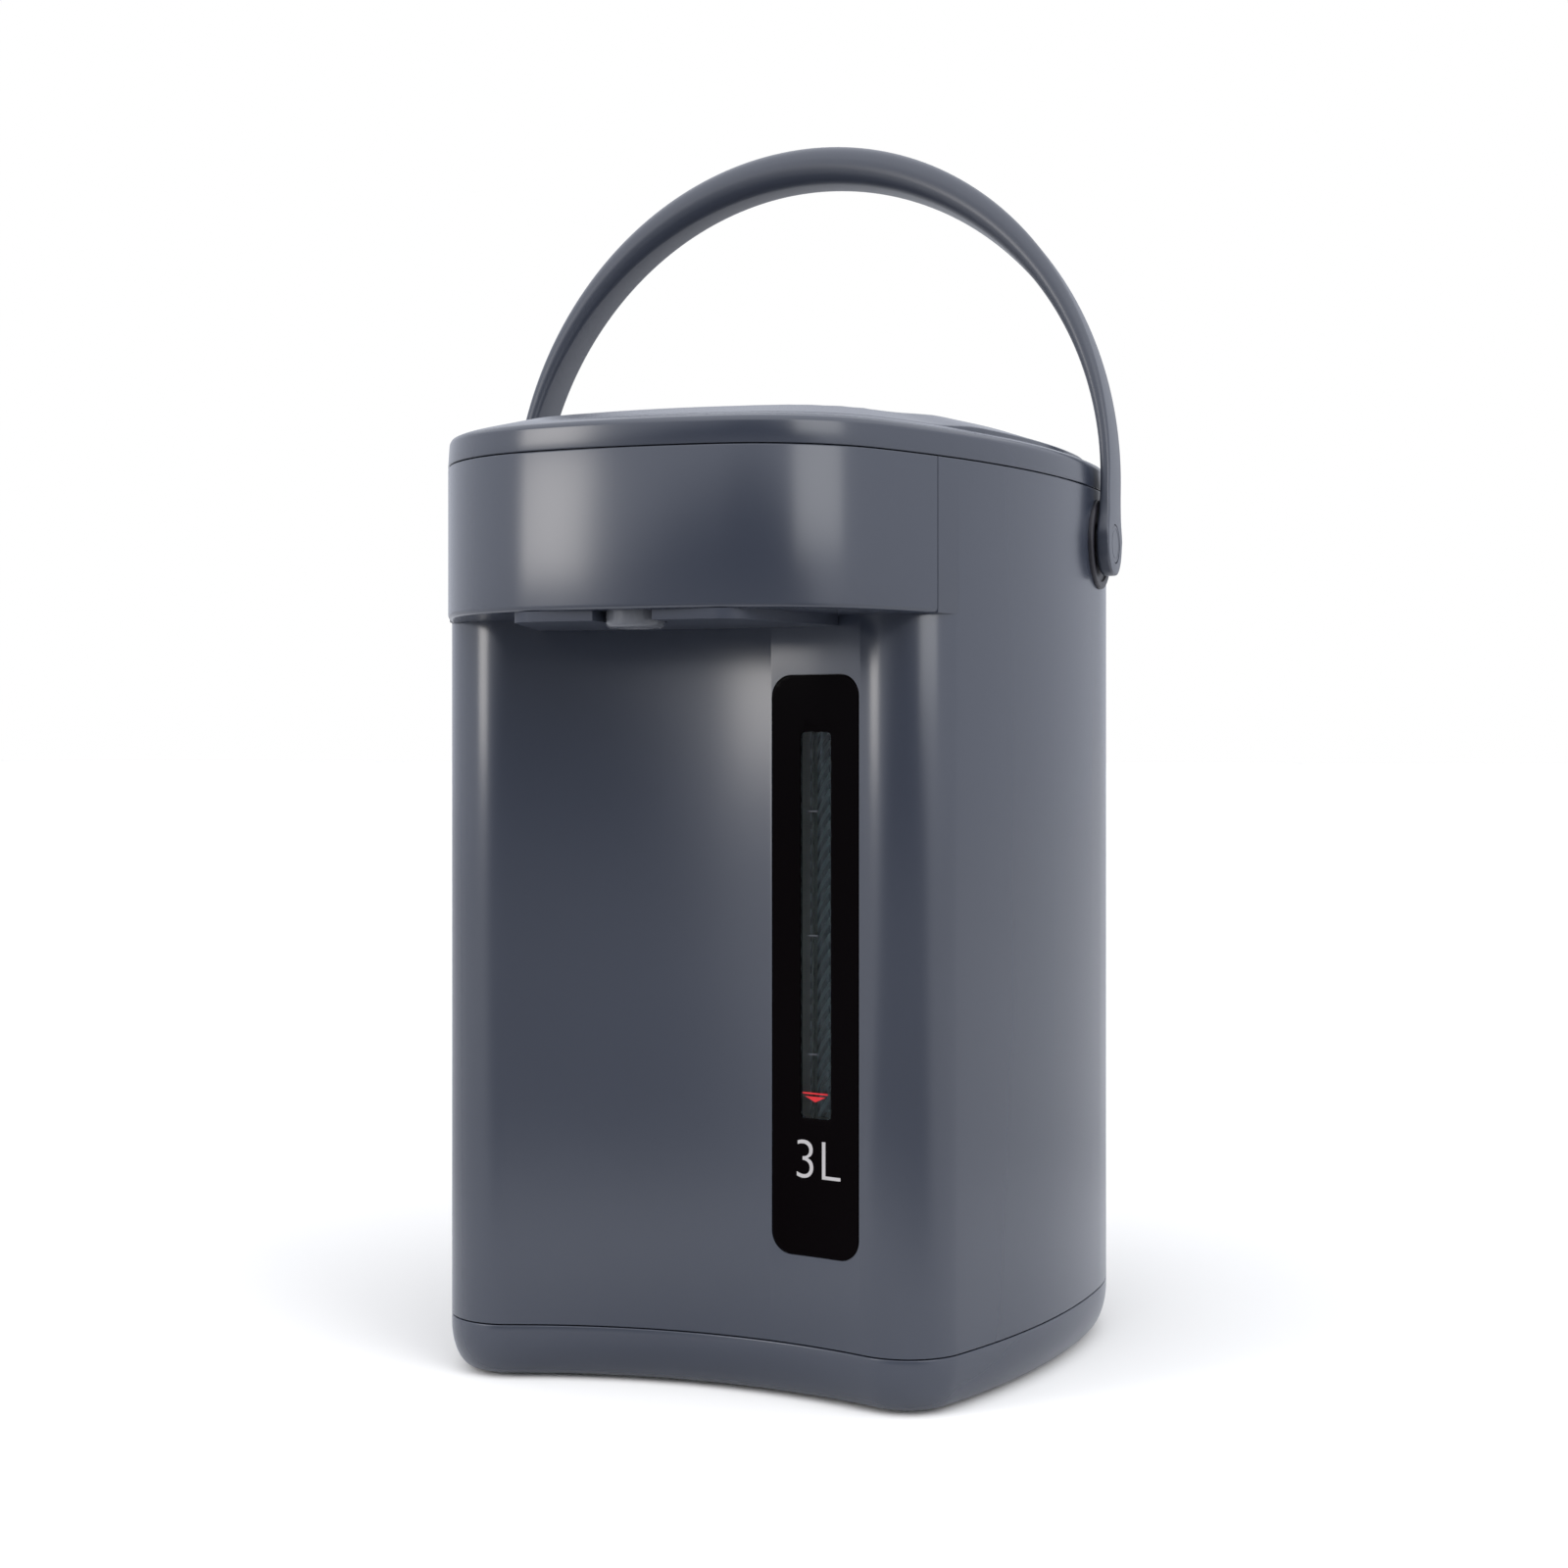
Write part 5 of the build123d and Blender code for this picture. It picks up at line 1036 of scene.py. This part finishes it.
class POT_OT_spout(bpy.types.Operator):
    """Make the spout panel under the beak and the water nozzle"""

    bl_idname = "pot.spout"
    bl_label = "Spout panel and nozzle"

    def execute(self, context):
        nozzle_low, nozzle_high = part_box("nozzle")
        self.strip(context.scene.pot_sizes, (nozzle_low + nozzle_high) / 2)
        self.nozzle(nozzle_low, nozzle_high)
        return {"FINISHED"}

    def strip(self, sizes, nozzle):
        """Plate with slanted sides that follows the hollow front, notched where the nozzle shows."""
        low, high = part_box("spout_panel")
        hollow_centre = -(sizes.hollow_depth + sizes.hollow_radius) + sizes.axis_y
        radius = sizes.hollow_radius - sizes.seam
        rear_half, front_half, corner = high.x, 35 * MM, 9 * MM
        turn = math.asin(rear_half / radius)
        rear = arc((0, hollow_centre), radius, QUARTER - turn, QUARTER + turn, 24, last=True)
        # Slanted side, rounded front corner, and the same mirrored
        slope = math.atan2(rear[0][1] - low.y, rear_half - front_half)
        centre = (front_half - corner / math.tan((math.pi - slope) / 2), low.y + corner)
        right = arc(centre, corner, -QUARTER, slope - QUARTER, 10, last=True)
        left = [(-x, y) for x, y in reversed(right)]
        # Notch at the front, in which the nozzle shows
        clear_radius = 9.2 * MM
        notch = [(nozzle.x - clear_radius, low.y)]
        notch += arc((nozzle.x, nozzle.y), clear_radius, math.pi, 0, 24, last=True)
        notch += [(nozzle.x + clear_radius, low.y)]
        form = Form()
        form.slab(rear + left + notch + right, low.z, sizes.beak_bottom)
        # Collar of the panel round the nozzle
        collar, bore = (circle(mm * MM, 48, (nozzle.x, nozzle.y)) for mm in (9.7, 8.6))
        form.slab(collar, sizes.beak_bottom, high.z, holes=[bore])
        form.piece("spout_strip", "abs_spout_textured", nodes=["spout_panel"], slot="casing")

    def nozzle(self, low, high):
        """Turned nozzle with a rounded lip, a flange at its top and a socket for the pipe."""
        outer, bore, soft, recess = 8.5 * MM, 4.2 * MM, 1.5 * MM, 0.8 * MM
        flange, flange_thick = outer + 0.6 * MM, 1.5 * MM
        socket, socket_depth = 5.05 * MM, 6 * MM
        bottom, top = low.z + 1.1 * MM, high.z
        profile = [(bore + 1.2 * MM, bottom)]
        profile += [(outer - inset, bottom + drop) for inset, drop in reversed(quarter_round(soft))]
        profile += [(outer, top - flange_thick), (flange, top - flange_thick), (flange, top)]
        profile += [(socket, top), (socket, top - socket_depth), (bore, top - socket_depth)]
        profile.append((bore, bottom + recess))
        middle = (low + high) / 2
        tip = Form()
        tip.lathe(profile, (middle.x, middle.y, 0))
        tip.piece("water_nozzle", "abs_outlet_glossy", nodes=["nozzle"], slot="outlet_grey")


# ---- Handle -------------------------------------------------------------------------------


class POT_OT_handle(bpy.types.Operator):
    """Make the carrying handle, from flat hubs to a thick grip, and the caps in its hubs"""

    bl_idname = "pot.handle"
    bl_label = "Handle"

    def execute(self, context):
        sizes = context.scene.pot_handle
        pivot = Vector((0, context.scene.pot_sizes.axis_y, sizes.pivot_z))
        self.bow(sizes, pivot).piece(
            "carry_handle",
            "abs_handle_moulded",
            body="bail",
            nodes=["bail_handle"],
            slot="handle",
            cutters=self.seats(sizes, pivot),
        )
        self.caps(sizes, pivot).piece(
            "hub_caps", "abs_handle_moulded", body="bail", nodes=["bail_caps"], slot="handle"
        )
        return {"FINISHED"}

    def bow(self, sizes, pivot):
        """Legs and arch as one bar whose section grows from the hubs to the grip."""
        out = Vector((1, 0, 0))
        up = Vector((0, math.sin(sizes.lean), math.cos(sizes.lean)))
        flat = Vector((0, math.cos(sizes.lean), -math.sin(sizes.lean)))
        hub, edge, full = sizes.hub_radius, sizes.edge, sizes.leg + sizes.rise
        thinnest, blend_power = 0.4 * MM, 6
        leg_round, most_round = 0.45, 0.49  # corner radius as a share of the section's smaller side

        def row(height, x, tangent):
            share = (max(0.0, height) / full) ** 2
            width = sizes.leg_width + (sizes.grip_width - sizes.leg_width) * share
            thick = sizes.leg_thick + (sizes.grip_thick - sizes.leg_thick) * share
            if height < hub:
                # The hub's circle runs smoothly into the leg above the pivot.
                round_width = 2 * math.sqrt(max(0.0, hub**2 - height**2))
                if height > 0:
                    width = (width**blend_power + round_width**blend_power) ** (1 / blend_power)
                else:
                    width = round_width
            thick = sizes.hub_thick + (thick - sizes.hub_thick) * smooth_step(height / (2 * hub))
            rounder = leg_round * min(width, thick) - edge
            corner = edge + rounder * smooth_step(height / (4 * hub))
            rise = height + hub
            if rise < edge:
                thick -= 2 * (edge - math.sqrt(edge**2 - (edge - rise) ** 2))
            width = max(width, thinnest)
            corner = min(corner, most_round * width, most_round * thick)
            across = tangent.cross(flat).normalized()
            middle = pivot + out * x + up * height
            outline = rounded_box(width, thick, corner, steps=6)
            return [middle + flat * u + across * v for u, v in outline]

        # The first row lies a hair above the hub's end, so that its section has a size.
        hair, hub_steps, leg_steps, arch_steps = 0.01 * MM, 16, 8, 120
        heights = [-hub * math.cos(QUARTER * step / hub_steps) for step in range(hub_steps + 1)]
        heights[0] += hair
        heights += [sizes.leg * step / leg_steps for step in range(1, leg_steps)]
        stations = [(height, sizes.half, up) for height in heights]
        arch = []
        for step in range(arch_steps + 1):
            turn = math.pi * step / arch_steps
            tangent = up * (sizes.rise * math.cos(turn)) - out * (sizes.half * math.sin(turn))
            height, x = sizes.leg + sizes.rise * math.sin(turn), sizes.half * math.cos(turn)
            arch.append((height, x, tangent.normalized()))
        back_down = [(height, -x, -tangent) for height, x, tangent in reversed(stations)]
        form = Form()
        rows = [form.ring(row(*station)) for station in [*stations, *arch, *back_down]]
        form.skin(rows)
        form.cap(rows[0])
        form.cap(rows[-1])
        return form

    def seats(self, sizes, pivot):
        """Cutters for the seat of each cap and the bore of each pin."""
        past = 2 * MM
        depths = ((sizes.cap_radius + 0.1 * MM, 2.1 * MM), (sizes.pin_radius + 0.06 * MM, 9 * MM))
        cutters = []
        for side in (1, -1):
            face = side * (sizes.half + sizes.hub_thick / 2)
            for radius, depth in depths:
                cutter = Form()
                ends = [(radius, face - side * depth), (radius, face + side * past)]
                cutter.lathe(ends, pivot, "x", solid=True)
                cutters.append(cutter)
        return cutters

    def caps(self, sizes, pivot):
        """Caps with a fine groove near their edge, one in each hub."""
        middle, soft, groove = 0.05 * MM, 0.35 * MM, 0.12 * MM
        radius = sizes.cap_radius
        profile = [(middle, 0), (0.72 * radius, 0), (0.75 * radius, groove), (0.8 * radius, groove)]
        profile += [(0.83 * radius, 0), (radius - soft, 0), (radius, soft)]
        profile += [(radius, sizes.cap_thick), (middle, sizes.cap_thick)]
        form = Form()
        for side in (1, -1):
            face = side * (sizes.half + sizes.hub_thick / 2 - sizes.cap_sunk)
            turned = [(reach, face - side * depth) for reach, depth in profile]
            form.lathe(turned, pivot, "x", solid=True)
        return form


class POT_OT_rosettes(bpy.types.Operator):
    """Make the dark rosettes that the handle turns on"""

    bl_idname = "pot.rosettes"
    bl_label = "Rosettes"

    def execute(self, context):
        sizes, base = context.scene.pot_handle, context.scene.pot_sizes
        shift = base.side_radius - base.rear_radius
        on_shell, proud = 2.0, 0.05 * MM  # on_shell stands for a place on the body's curved face

        def seated(side):
            def move(x, y, z):
                if abs(x) >= on_shell:
                    reach = y - base.axis_y
                    if reach > 0:
                        skin = math.sqrt(base.rear_radius**2 - reach**2)
                    else:
                        skin = -shift + math.sqrt(base.side_radius**2 - reach**2)
                    x = side * (skin + proud)
                return (x, y, z)

            return move

        face = sizes.half - sizes.hub_thick / 2 - 0.3 * MM
        soft, ledge, groove = 0.7 * MM, 0.3 * MM, 0.8 * MM
        bore, neck, neck_end = sizes.pin_radius + 0.02 * MM, sizes.neck_radius, 97 * MM
        inner, outer = 7.2 * MM, 12.3 * MM
        profile = [(bore, face), (inner - ledge, face), (inner, face - ledge)]
        profile += [(inner, face - groove), (outer, face - groove)]
        profile += [(outer, face - ledge), (outer + ledge, face)]
        rim = reversed(quarter_round(soft, 4))
        profile += [(sizes.rosette_radius - inset, face - drop) for inset, drop in rim]
        profile += [(sizes.rosette_radius, on_shell), (neck, on_shell), (neck, neck_end), (bore, neck_end)]
        form = Form()
        for side in (1, -1):
            turned = [(radius, side * x) for radius, x in profile]
            form.lathe(turned, (0, base.axis_y, sizes.pivot_z), "x", shape=seated(side))
        form.piece(
            "handle_rosettes", "nylon_moulded_matt", nodes=["pivot_rosettes"], slot="dark_trim"
        )
        return {"FINISHED"}


# ---- Gauge --------------------------------------------------------------------------------


class POT_OT_gauge(bpy.types.Operator):
    """Make the glossy gauge panel, its window, backing, marks and capacity figure"""

    bl_idname = "pot.gauge"
    bl_label = "Water gauge"

    def execute(self, context):
        gauge = context.scene.pot_gauge
        bend, strips = bend_to_hollow(context.scene.pot_sizes), strip_places(gauge)
        panel = Form(bend, strips)
        panel.slab(
            around_gauge(gauge, "panel"),
            -gauge.panel_proud,
            gauge.panel_depth,
            soft_low=0.35 * MM,
            holes=[around_gauge(gauge, "slot", steps=5)],
        )
        panel.piece(
            "gauge_face", "polycarbonate_black_coated", nodes=["gauge_panel"], slot="gauge_black"
        )
        pane = Form(bend, strips)
        pane_outline = around_gauge(gauge, "slot", -0.05 * MM, gauge.slot_corner, 5)
        pane.slab(pane_outline, 0.15 * MM, 2.3 * MM, soft_low=0.25 * MM)
        pane.piece(
            "gauge_pane", "acrylic_pressed_smoked", nodes=["gauge_window"], slot="window_clear"
        )
        self.backing(context.scene.pot_colours)
        self.marks(gauge, bend, strips)
        self.figure(gauge, bend, strips)
        return {"FINISHED"}

    def backing(self, tones):
        """Striped strip behind the glass tube."""
        # Printed polystyrene: dark, with pale stripes that slant up to the right.
        rise, spacing, soft_from, soft_to = 1.2, 4.9, 0.42, 0.58
        material, tree, place = blank("polystyrene_backing_printed")
        split = put(tree, "ShaderNodeSeparateXYZ", {"Vector": place})
        across = {0: split.outputs["X"], 1: -rise, 2: split.outputs["Z"]}
        slant = put(tree, "ShaderNodeMath", across, operation="MULTIPLY_ADD")
        count = put(tree, "ShaderNodeMath", {0: slant, 1: per_metre(spacing)}, operation="MULTIPLY")
        wave = put(tree, "ShaderNodeMath", {0: count}, operation="FRACT")
        edges = {"Value": wave, "From Min": soft_from, "From Max": soft_to}
        band = put(tree, "ShaderNodeMapRange", edges, interpolation_type="SMOOTHSTEP")
        shades = {0: band, 6: rgba(tones.teal), 7: rgba(tones.stripe)}
        colour = put(tree, "ShaderNodeMix", shades, data_type="RGBA")
        inputs = {"Base Color": colour.outputs[2], "Roughness": 0.4}
        shader = put(tree, "ShaderNodeBsdfPrincipled", inputs)
        put(tree, "ShaderNodeOutputMaterial", {"Surface": shader})
        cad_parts["gauge_backing"].material_slots[0].material = material

    def marks(self, gauge, bend, strips):
        """Level ticks and the red refill mark, printed on the window."""
        ink, levels = (0.08 * MM, 0.15 * MM), (177.8, 140.7, 105.3)
        ticks, red = Form(bend, strips), Form(bend, strips)
        for z in levels:
            middle = (gauge.centre_x - 1.0 * MM, z * MM)
            ticks.slab(rounded_box(3.4 * MM, 0.35 * MM, 0.1 * MM, middle, 3), *ink)
        ticks.piece("gauge_ticks", "ink_grey_screened")
        x, z = gauge.centre_x - 0.2 * MM, gauge.refill_level
        red.slab(rounded_box(8.6 * MM, 0.5 * MM, 0.15 * MM, (x, z), 3), *ink)
        # Arrowhead that points down from just under the bar
        half_width, high, low = 3.6 * MM, z - 0.9 * MM, z - 2.6 * MM
        red.slab([(x - half_width, high), (x, low), (x + half_width, high)], *ink)
        red.piece("refill_mark", "ink_red_screened")

    def figure(self, gauge, bend, strips):
        """Capacity figure as a thin layer of ink that follows the panel's curve."""
        ink, shift = 0.04 * MM, 1.0 * MM
        curve = bpy.data.curves.new("capacity_figure", "FONT")
        curve.body = "3L"
        curve.align_x = "CENTER"
        curve.offset = -0.014
        words = bpy.data.objects.new("capacity_figure", curve)
        bpy.context.scene.collection.objects.link(words)
        seen = words.evaluated_get(bpy.context.evaluated_depsgraph_get())
        mesh = bpy.data.meshes.new_from_object(seen)
        bpy.data.objects.remove(words)
        made = bmesh.new()
        made.from_mesh(mesh)
        xs = [vert.co.x for vert in made.verts]
        ys = [vert.co.y for vert in made.verts]
        wide = gauge.label_width / (max(xs) - min(xs))
        tall = gauge.label_height / (max(ys) - min(ys))
        for vert in made.verts:
            vert.co = (
                gauge.centre_x + shift + (vert.co.x - (max(xs) + min(xs)) / 2) * wide,
                gauge.label_low + (vert.co.y - min(ys)) * tall,
                -gauge.panel_proud - ink,
            )
        cut_up(made, strips)
        thick = bmesh.ops.extrude_face_region(made, geom=list(made.faces))
        for item in thick["geom"]:
            if isinstance(item, bmesh.types.BMVert):
                item.co.z = -gauge.panel_proud
        for vert in made.verts:
            vert.co = bend(*vert.co)
        bmesh.ops.recalc_face_normals(made, faces=made.faces)
        made.to_mesh(mesh)
        made.free()
        thing = bpy.data.objects.new("capacity_ink", mesh)
        bpy.context.scene.collection.objects.link(thing)
        dress(thing, "ink_white_screened")


# ---- Studio -------------------------------------------------------------------------------


def softbox(name, place, aim, width, height, power, colour=(1, 1, 1)):
    """Rectangular studio lamp that points at a place."""
    lamp = bpy.data.lights.new(name, "AREA")
    lamp.shape = "RECTANGLE"
    lamp.size, lamp.size_y = width, height
    lamp.energy, lamp.color = power, colour
    thing = bpy.data.objects.new(name, lamp)
    thing.location = place
    thing.rotation_euler = (Vector(aim) - Vector(place)).to_track_quat("-Z", "Y").to_euler()
    bpy.context.scene.collection.objects.link(thing)


def tent_gap(tree, way, lit, dark):
    """Node whose result falls from lit to dark where the way points out of the tent's open side."""
    open_side, dip, outer, inner = math.radians(-76), -0.6, math.radians(50), math.radians(28)
    toward = {0: way, 1: (math.cos(open_side), math.sin(open_side), dip)}
    facing = put(tree, "ShaderNodeVectorMath", toward, operation="DOT_PRODUCT").outputs["Value"]
    limits = {"From Min": math.cos(outer), "From Max": math.cos(inner), "To Min": lit, "To Max": dark}
    return put(
        tree, "ShaderNodeMapRange", {"Value": facing, **limits}, interpolation_type="SMOOTHSTEP"
    )


class POT_OT_studio(bpy.types.Operator):
    """Make the floor, lamps, world and camera"""

    bl_idname = "pot.studio"
    bl_label = "Studio"

    def execute(self, context):
        scene = context.scene
        scene.view_settings.view_transform = "Standard"
        self.camera(scene)
        self.lamps(scene)
        self.world(scene)
        self.floor(scene)
        return {"FINISHED"}

    def camera(self, scene):
        """Camera at the height of the body, slightly to the right of the front."""
        data = bpy.data.cameras.new("studio_camera")
        data.sensor_width, data.lens, data.shift_y = 36.0, 55.91, -0.02256
        camera = bpy.data.objects.new("studio_camera", data)
        camera.location = (0.2774, -0.76455, 0.1965)
        camera.rotation_euler = (QUARTER, 0, math.radians(19.77))
        scene.collection.objects.link(camera)
        scene.camera = camera

    def lamps(self, scene):
        """Two softboxes in front, the left one a little warmer, and a wide soft light from above."""
        softbox("left_strip", (-0.72, -1.02, 0.49), (0, -0.1, 0.27), 0.34, 0.42, 1.8, (1, 0.96, 0.92))
        softbox("right_strip", (0.98, -0.68, 0.62), (0, 0, 0.27), 0.65, 0.5, 1.8)
        sun = bpy.data.lights.new("overhead", "SUN")
        sun.energy, sun.angle = 0.3 * math.pi, math.radians(120)
        overhead = bpy.data.objects.new("overhead", sun)
        overhead.location = (0, 0, 2)
        scene.collection.objects.link(overhead)

    def world(self, scene):
        """Tent of cloth, dimmer at the back and open behind the camera; the camera sees plain white."""
        dim_side, dim, gap = math.radians(70), 0.8, 0.1
        cloth_tint = (0.93, 0.97, 1.08, 1)
        world = bpy.data.worlds.new("studio_world")
        world.use_nodes = True
        tree = world.node_tree
        tree.nodes.clear()
        way = put(tree, "ShaderNodeTexCoord").outputs["Generated"]
        toward = {0: way, 1: (math.cos(dim_side), math.sin(dim_side), 0)}
        behind = put(tree, "ShaderNodeVectorMath", toward, operation="DOT_PRODUCT").outputs["Value"]
        limits = {"Value": behind, "From Min": 0.1, "From Max": 0.9, "To Min": 1.0, "To Max": dim}
        cloth = put(tree, "ShaderNodeMapRange", limits, interpolation_type="SMOOTHSTEP")
        level = tent_gap(tree, way, cloth.outputs["Result"], gap)
        tent = put(tree, "ShaderNodeBackground", {"Color": cloth_tint, "Strength": level})
        white = put(tree, "ShaderNodeBackground", {"Color": (1, 1, 1, 1), "Strength": 1.0})
        seen = put(tree, "ShaderNodeLightPath").outputs["Is Camera Ray"]
        mix = put(tree, "ShaderNodeMixShader", {0: seen, 1: tent, 2: white})
        put(tree, "ShaderNodeOutputWorld", {"Surface": mix})
        scene.world = world

    def floor(self, scene):
        """White floor that keeps the pot's shadow."""
        tones = scene.pot_colours
        near, far, near_shade, far_shade, gap_shade = 0.16, 0.4, 0.92, 0.68, 0.3
        material, tree, place = blank("paint_matt_rolled")
        # Less light comes back from the floor further out, and on the tent's open side.
        distance = put(tree, "ShaderNodeVectorMath", {0: place}, operation="LENGTH")
        way = put(tree, "ShaderNodeVectorMath", {0: place}, operation="NORMALIZE")
        side = tent_gap(tree, way.outputs["Vector"], 0.0, 1.0)
        limits = {"Value": distance.outputs["Value"], "From Min": near, "From Max": far}
        reach = put(tree, "ShaderNodeMapRange", limits, interpolation_type="SMOOTHSTEP")
        share = put(tree, "ShaderNodeMath", {0: side, 1: reach}, operation="MULTIPLY")
        seen = put(tree, "ShaderNodeLightPath").outputs["Is Camera Ray"]
        tone = rgba(tones.floor, near_shade)
        for amount, end in (
            (reach, rgba(tones.floor, far_shade)),
            (share, rgba(tones.floor, gap_shade)),
            (seen, rgba(tones.floor_seen)),
        ):
            mix = put(tree, "ShaderNodeMix", {0: amount, 6: tone, 7: end}, data_type="RGBA")
            tone = mix.outputs[2]
        shader = put(tree, "ShaderNodeBsdfDiffuse", {"Color": tone, "Roughness": 1.0})
        put(tree, "ShaderNodeOutputMaterial", {"Surface": shader})
        half = 30
        form = Form()
        form.cap(form.ring([(-half, -half, 0), (half, -half, 0), (half, half, 0), (-half, half, 0)]))
        mesh = form.mesh("studio_floor")
        mesh.materials.append(material)
        floor = bpy.data.objects.new("studio_floor", mesh)
        scene.collection.objects.link(floor)


OPERATORS = [
    POT_OT_finishes,
    POT_OT_body,
    POT_OT_beak,
    POT_OT_rim,
    POT_OT_deck,
    POT_OT_skirt,
    POT_OT_spout,
    POT_OT_handle,
    POT_OT_rosettes,
    POT_OT_gauge,
    POT_OT_studio,
]
GROUPS = {
    "pot_sizes": PotSizes,
    "pot_handle": HandleSizes,
    "pot_gauge": GaugeSizes,
    "pot_colours": PotColours,
}


class POT_PT_panel(bpy.types.Panel):
    """Sizes, colours and pieces of the thermo pot"""

    bl_idname = "POT_PT_panel"
    bl_label = "Thermo pot"
    bl_space_type = "VIEW_3D"
    bl_region_type = "UI"
    bl_category = "Thermo pot"

    def draw(self, context):
        for group in GROUPS:
            box = self.layout.box()
            values = getattr(context.scene, group)
            for key in values.bl_rna.properties.keys():
                if key not in ("rna_type", "name"):
                    box.prop(values, key)
        for operator in OPERATORS:
            self.layout.operator(operator.bl_idname)


def register():
    for group, kind in GROUPS.items():
        bpy.utils.register_class(kind)
        setattr(bpy.types.Scene, group, bpy.props.PointerProperty(type=kind))
    for kind in [*OPERATORS, POT_PT_panel]:
        bpy.utils.register_class(kind)


def unregister():
    for kind in [*OPERATORS, POT_PT_panel]:
        bpy.utils.unregister_class(kind)
    for group, kind in GROUPS.items():
        delattr(bpy.types.Scene, group)
        bpy.utils.unregister_class(kind)


def main():
    """Register the add-on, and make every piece."""
    register()
    for operator in OPERATORS:
        step = operator.bl_idname.split(".")[1]
        getattr(bpy.ops.pot, step)()


if __name__ == "__main__":
    main()
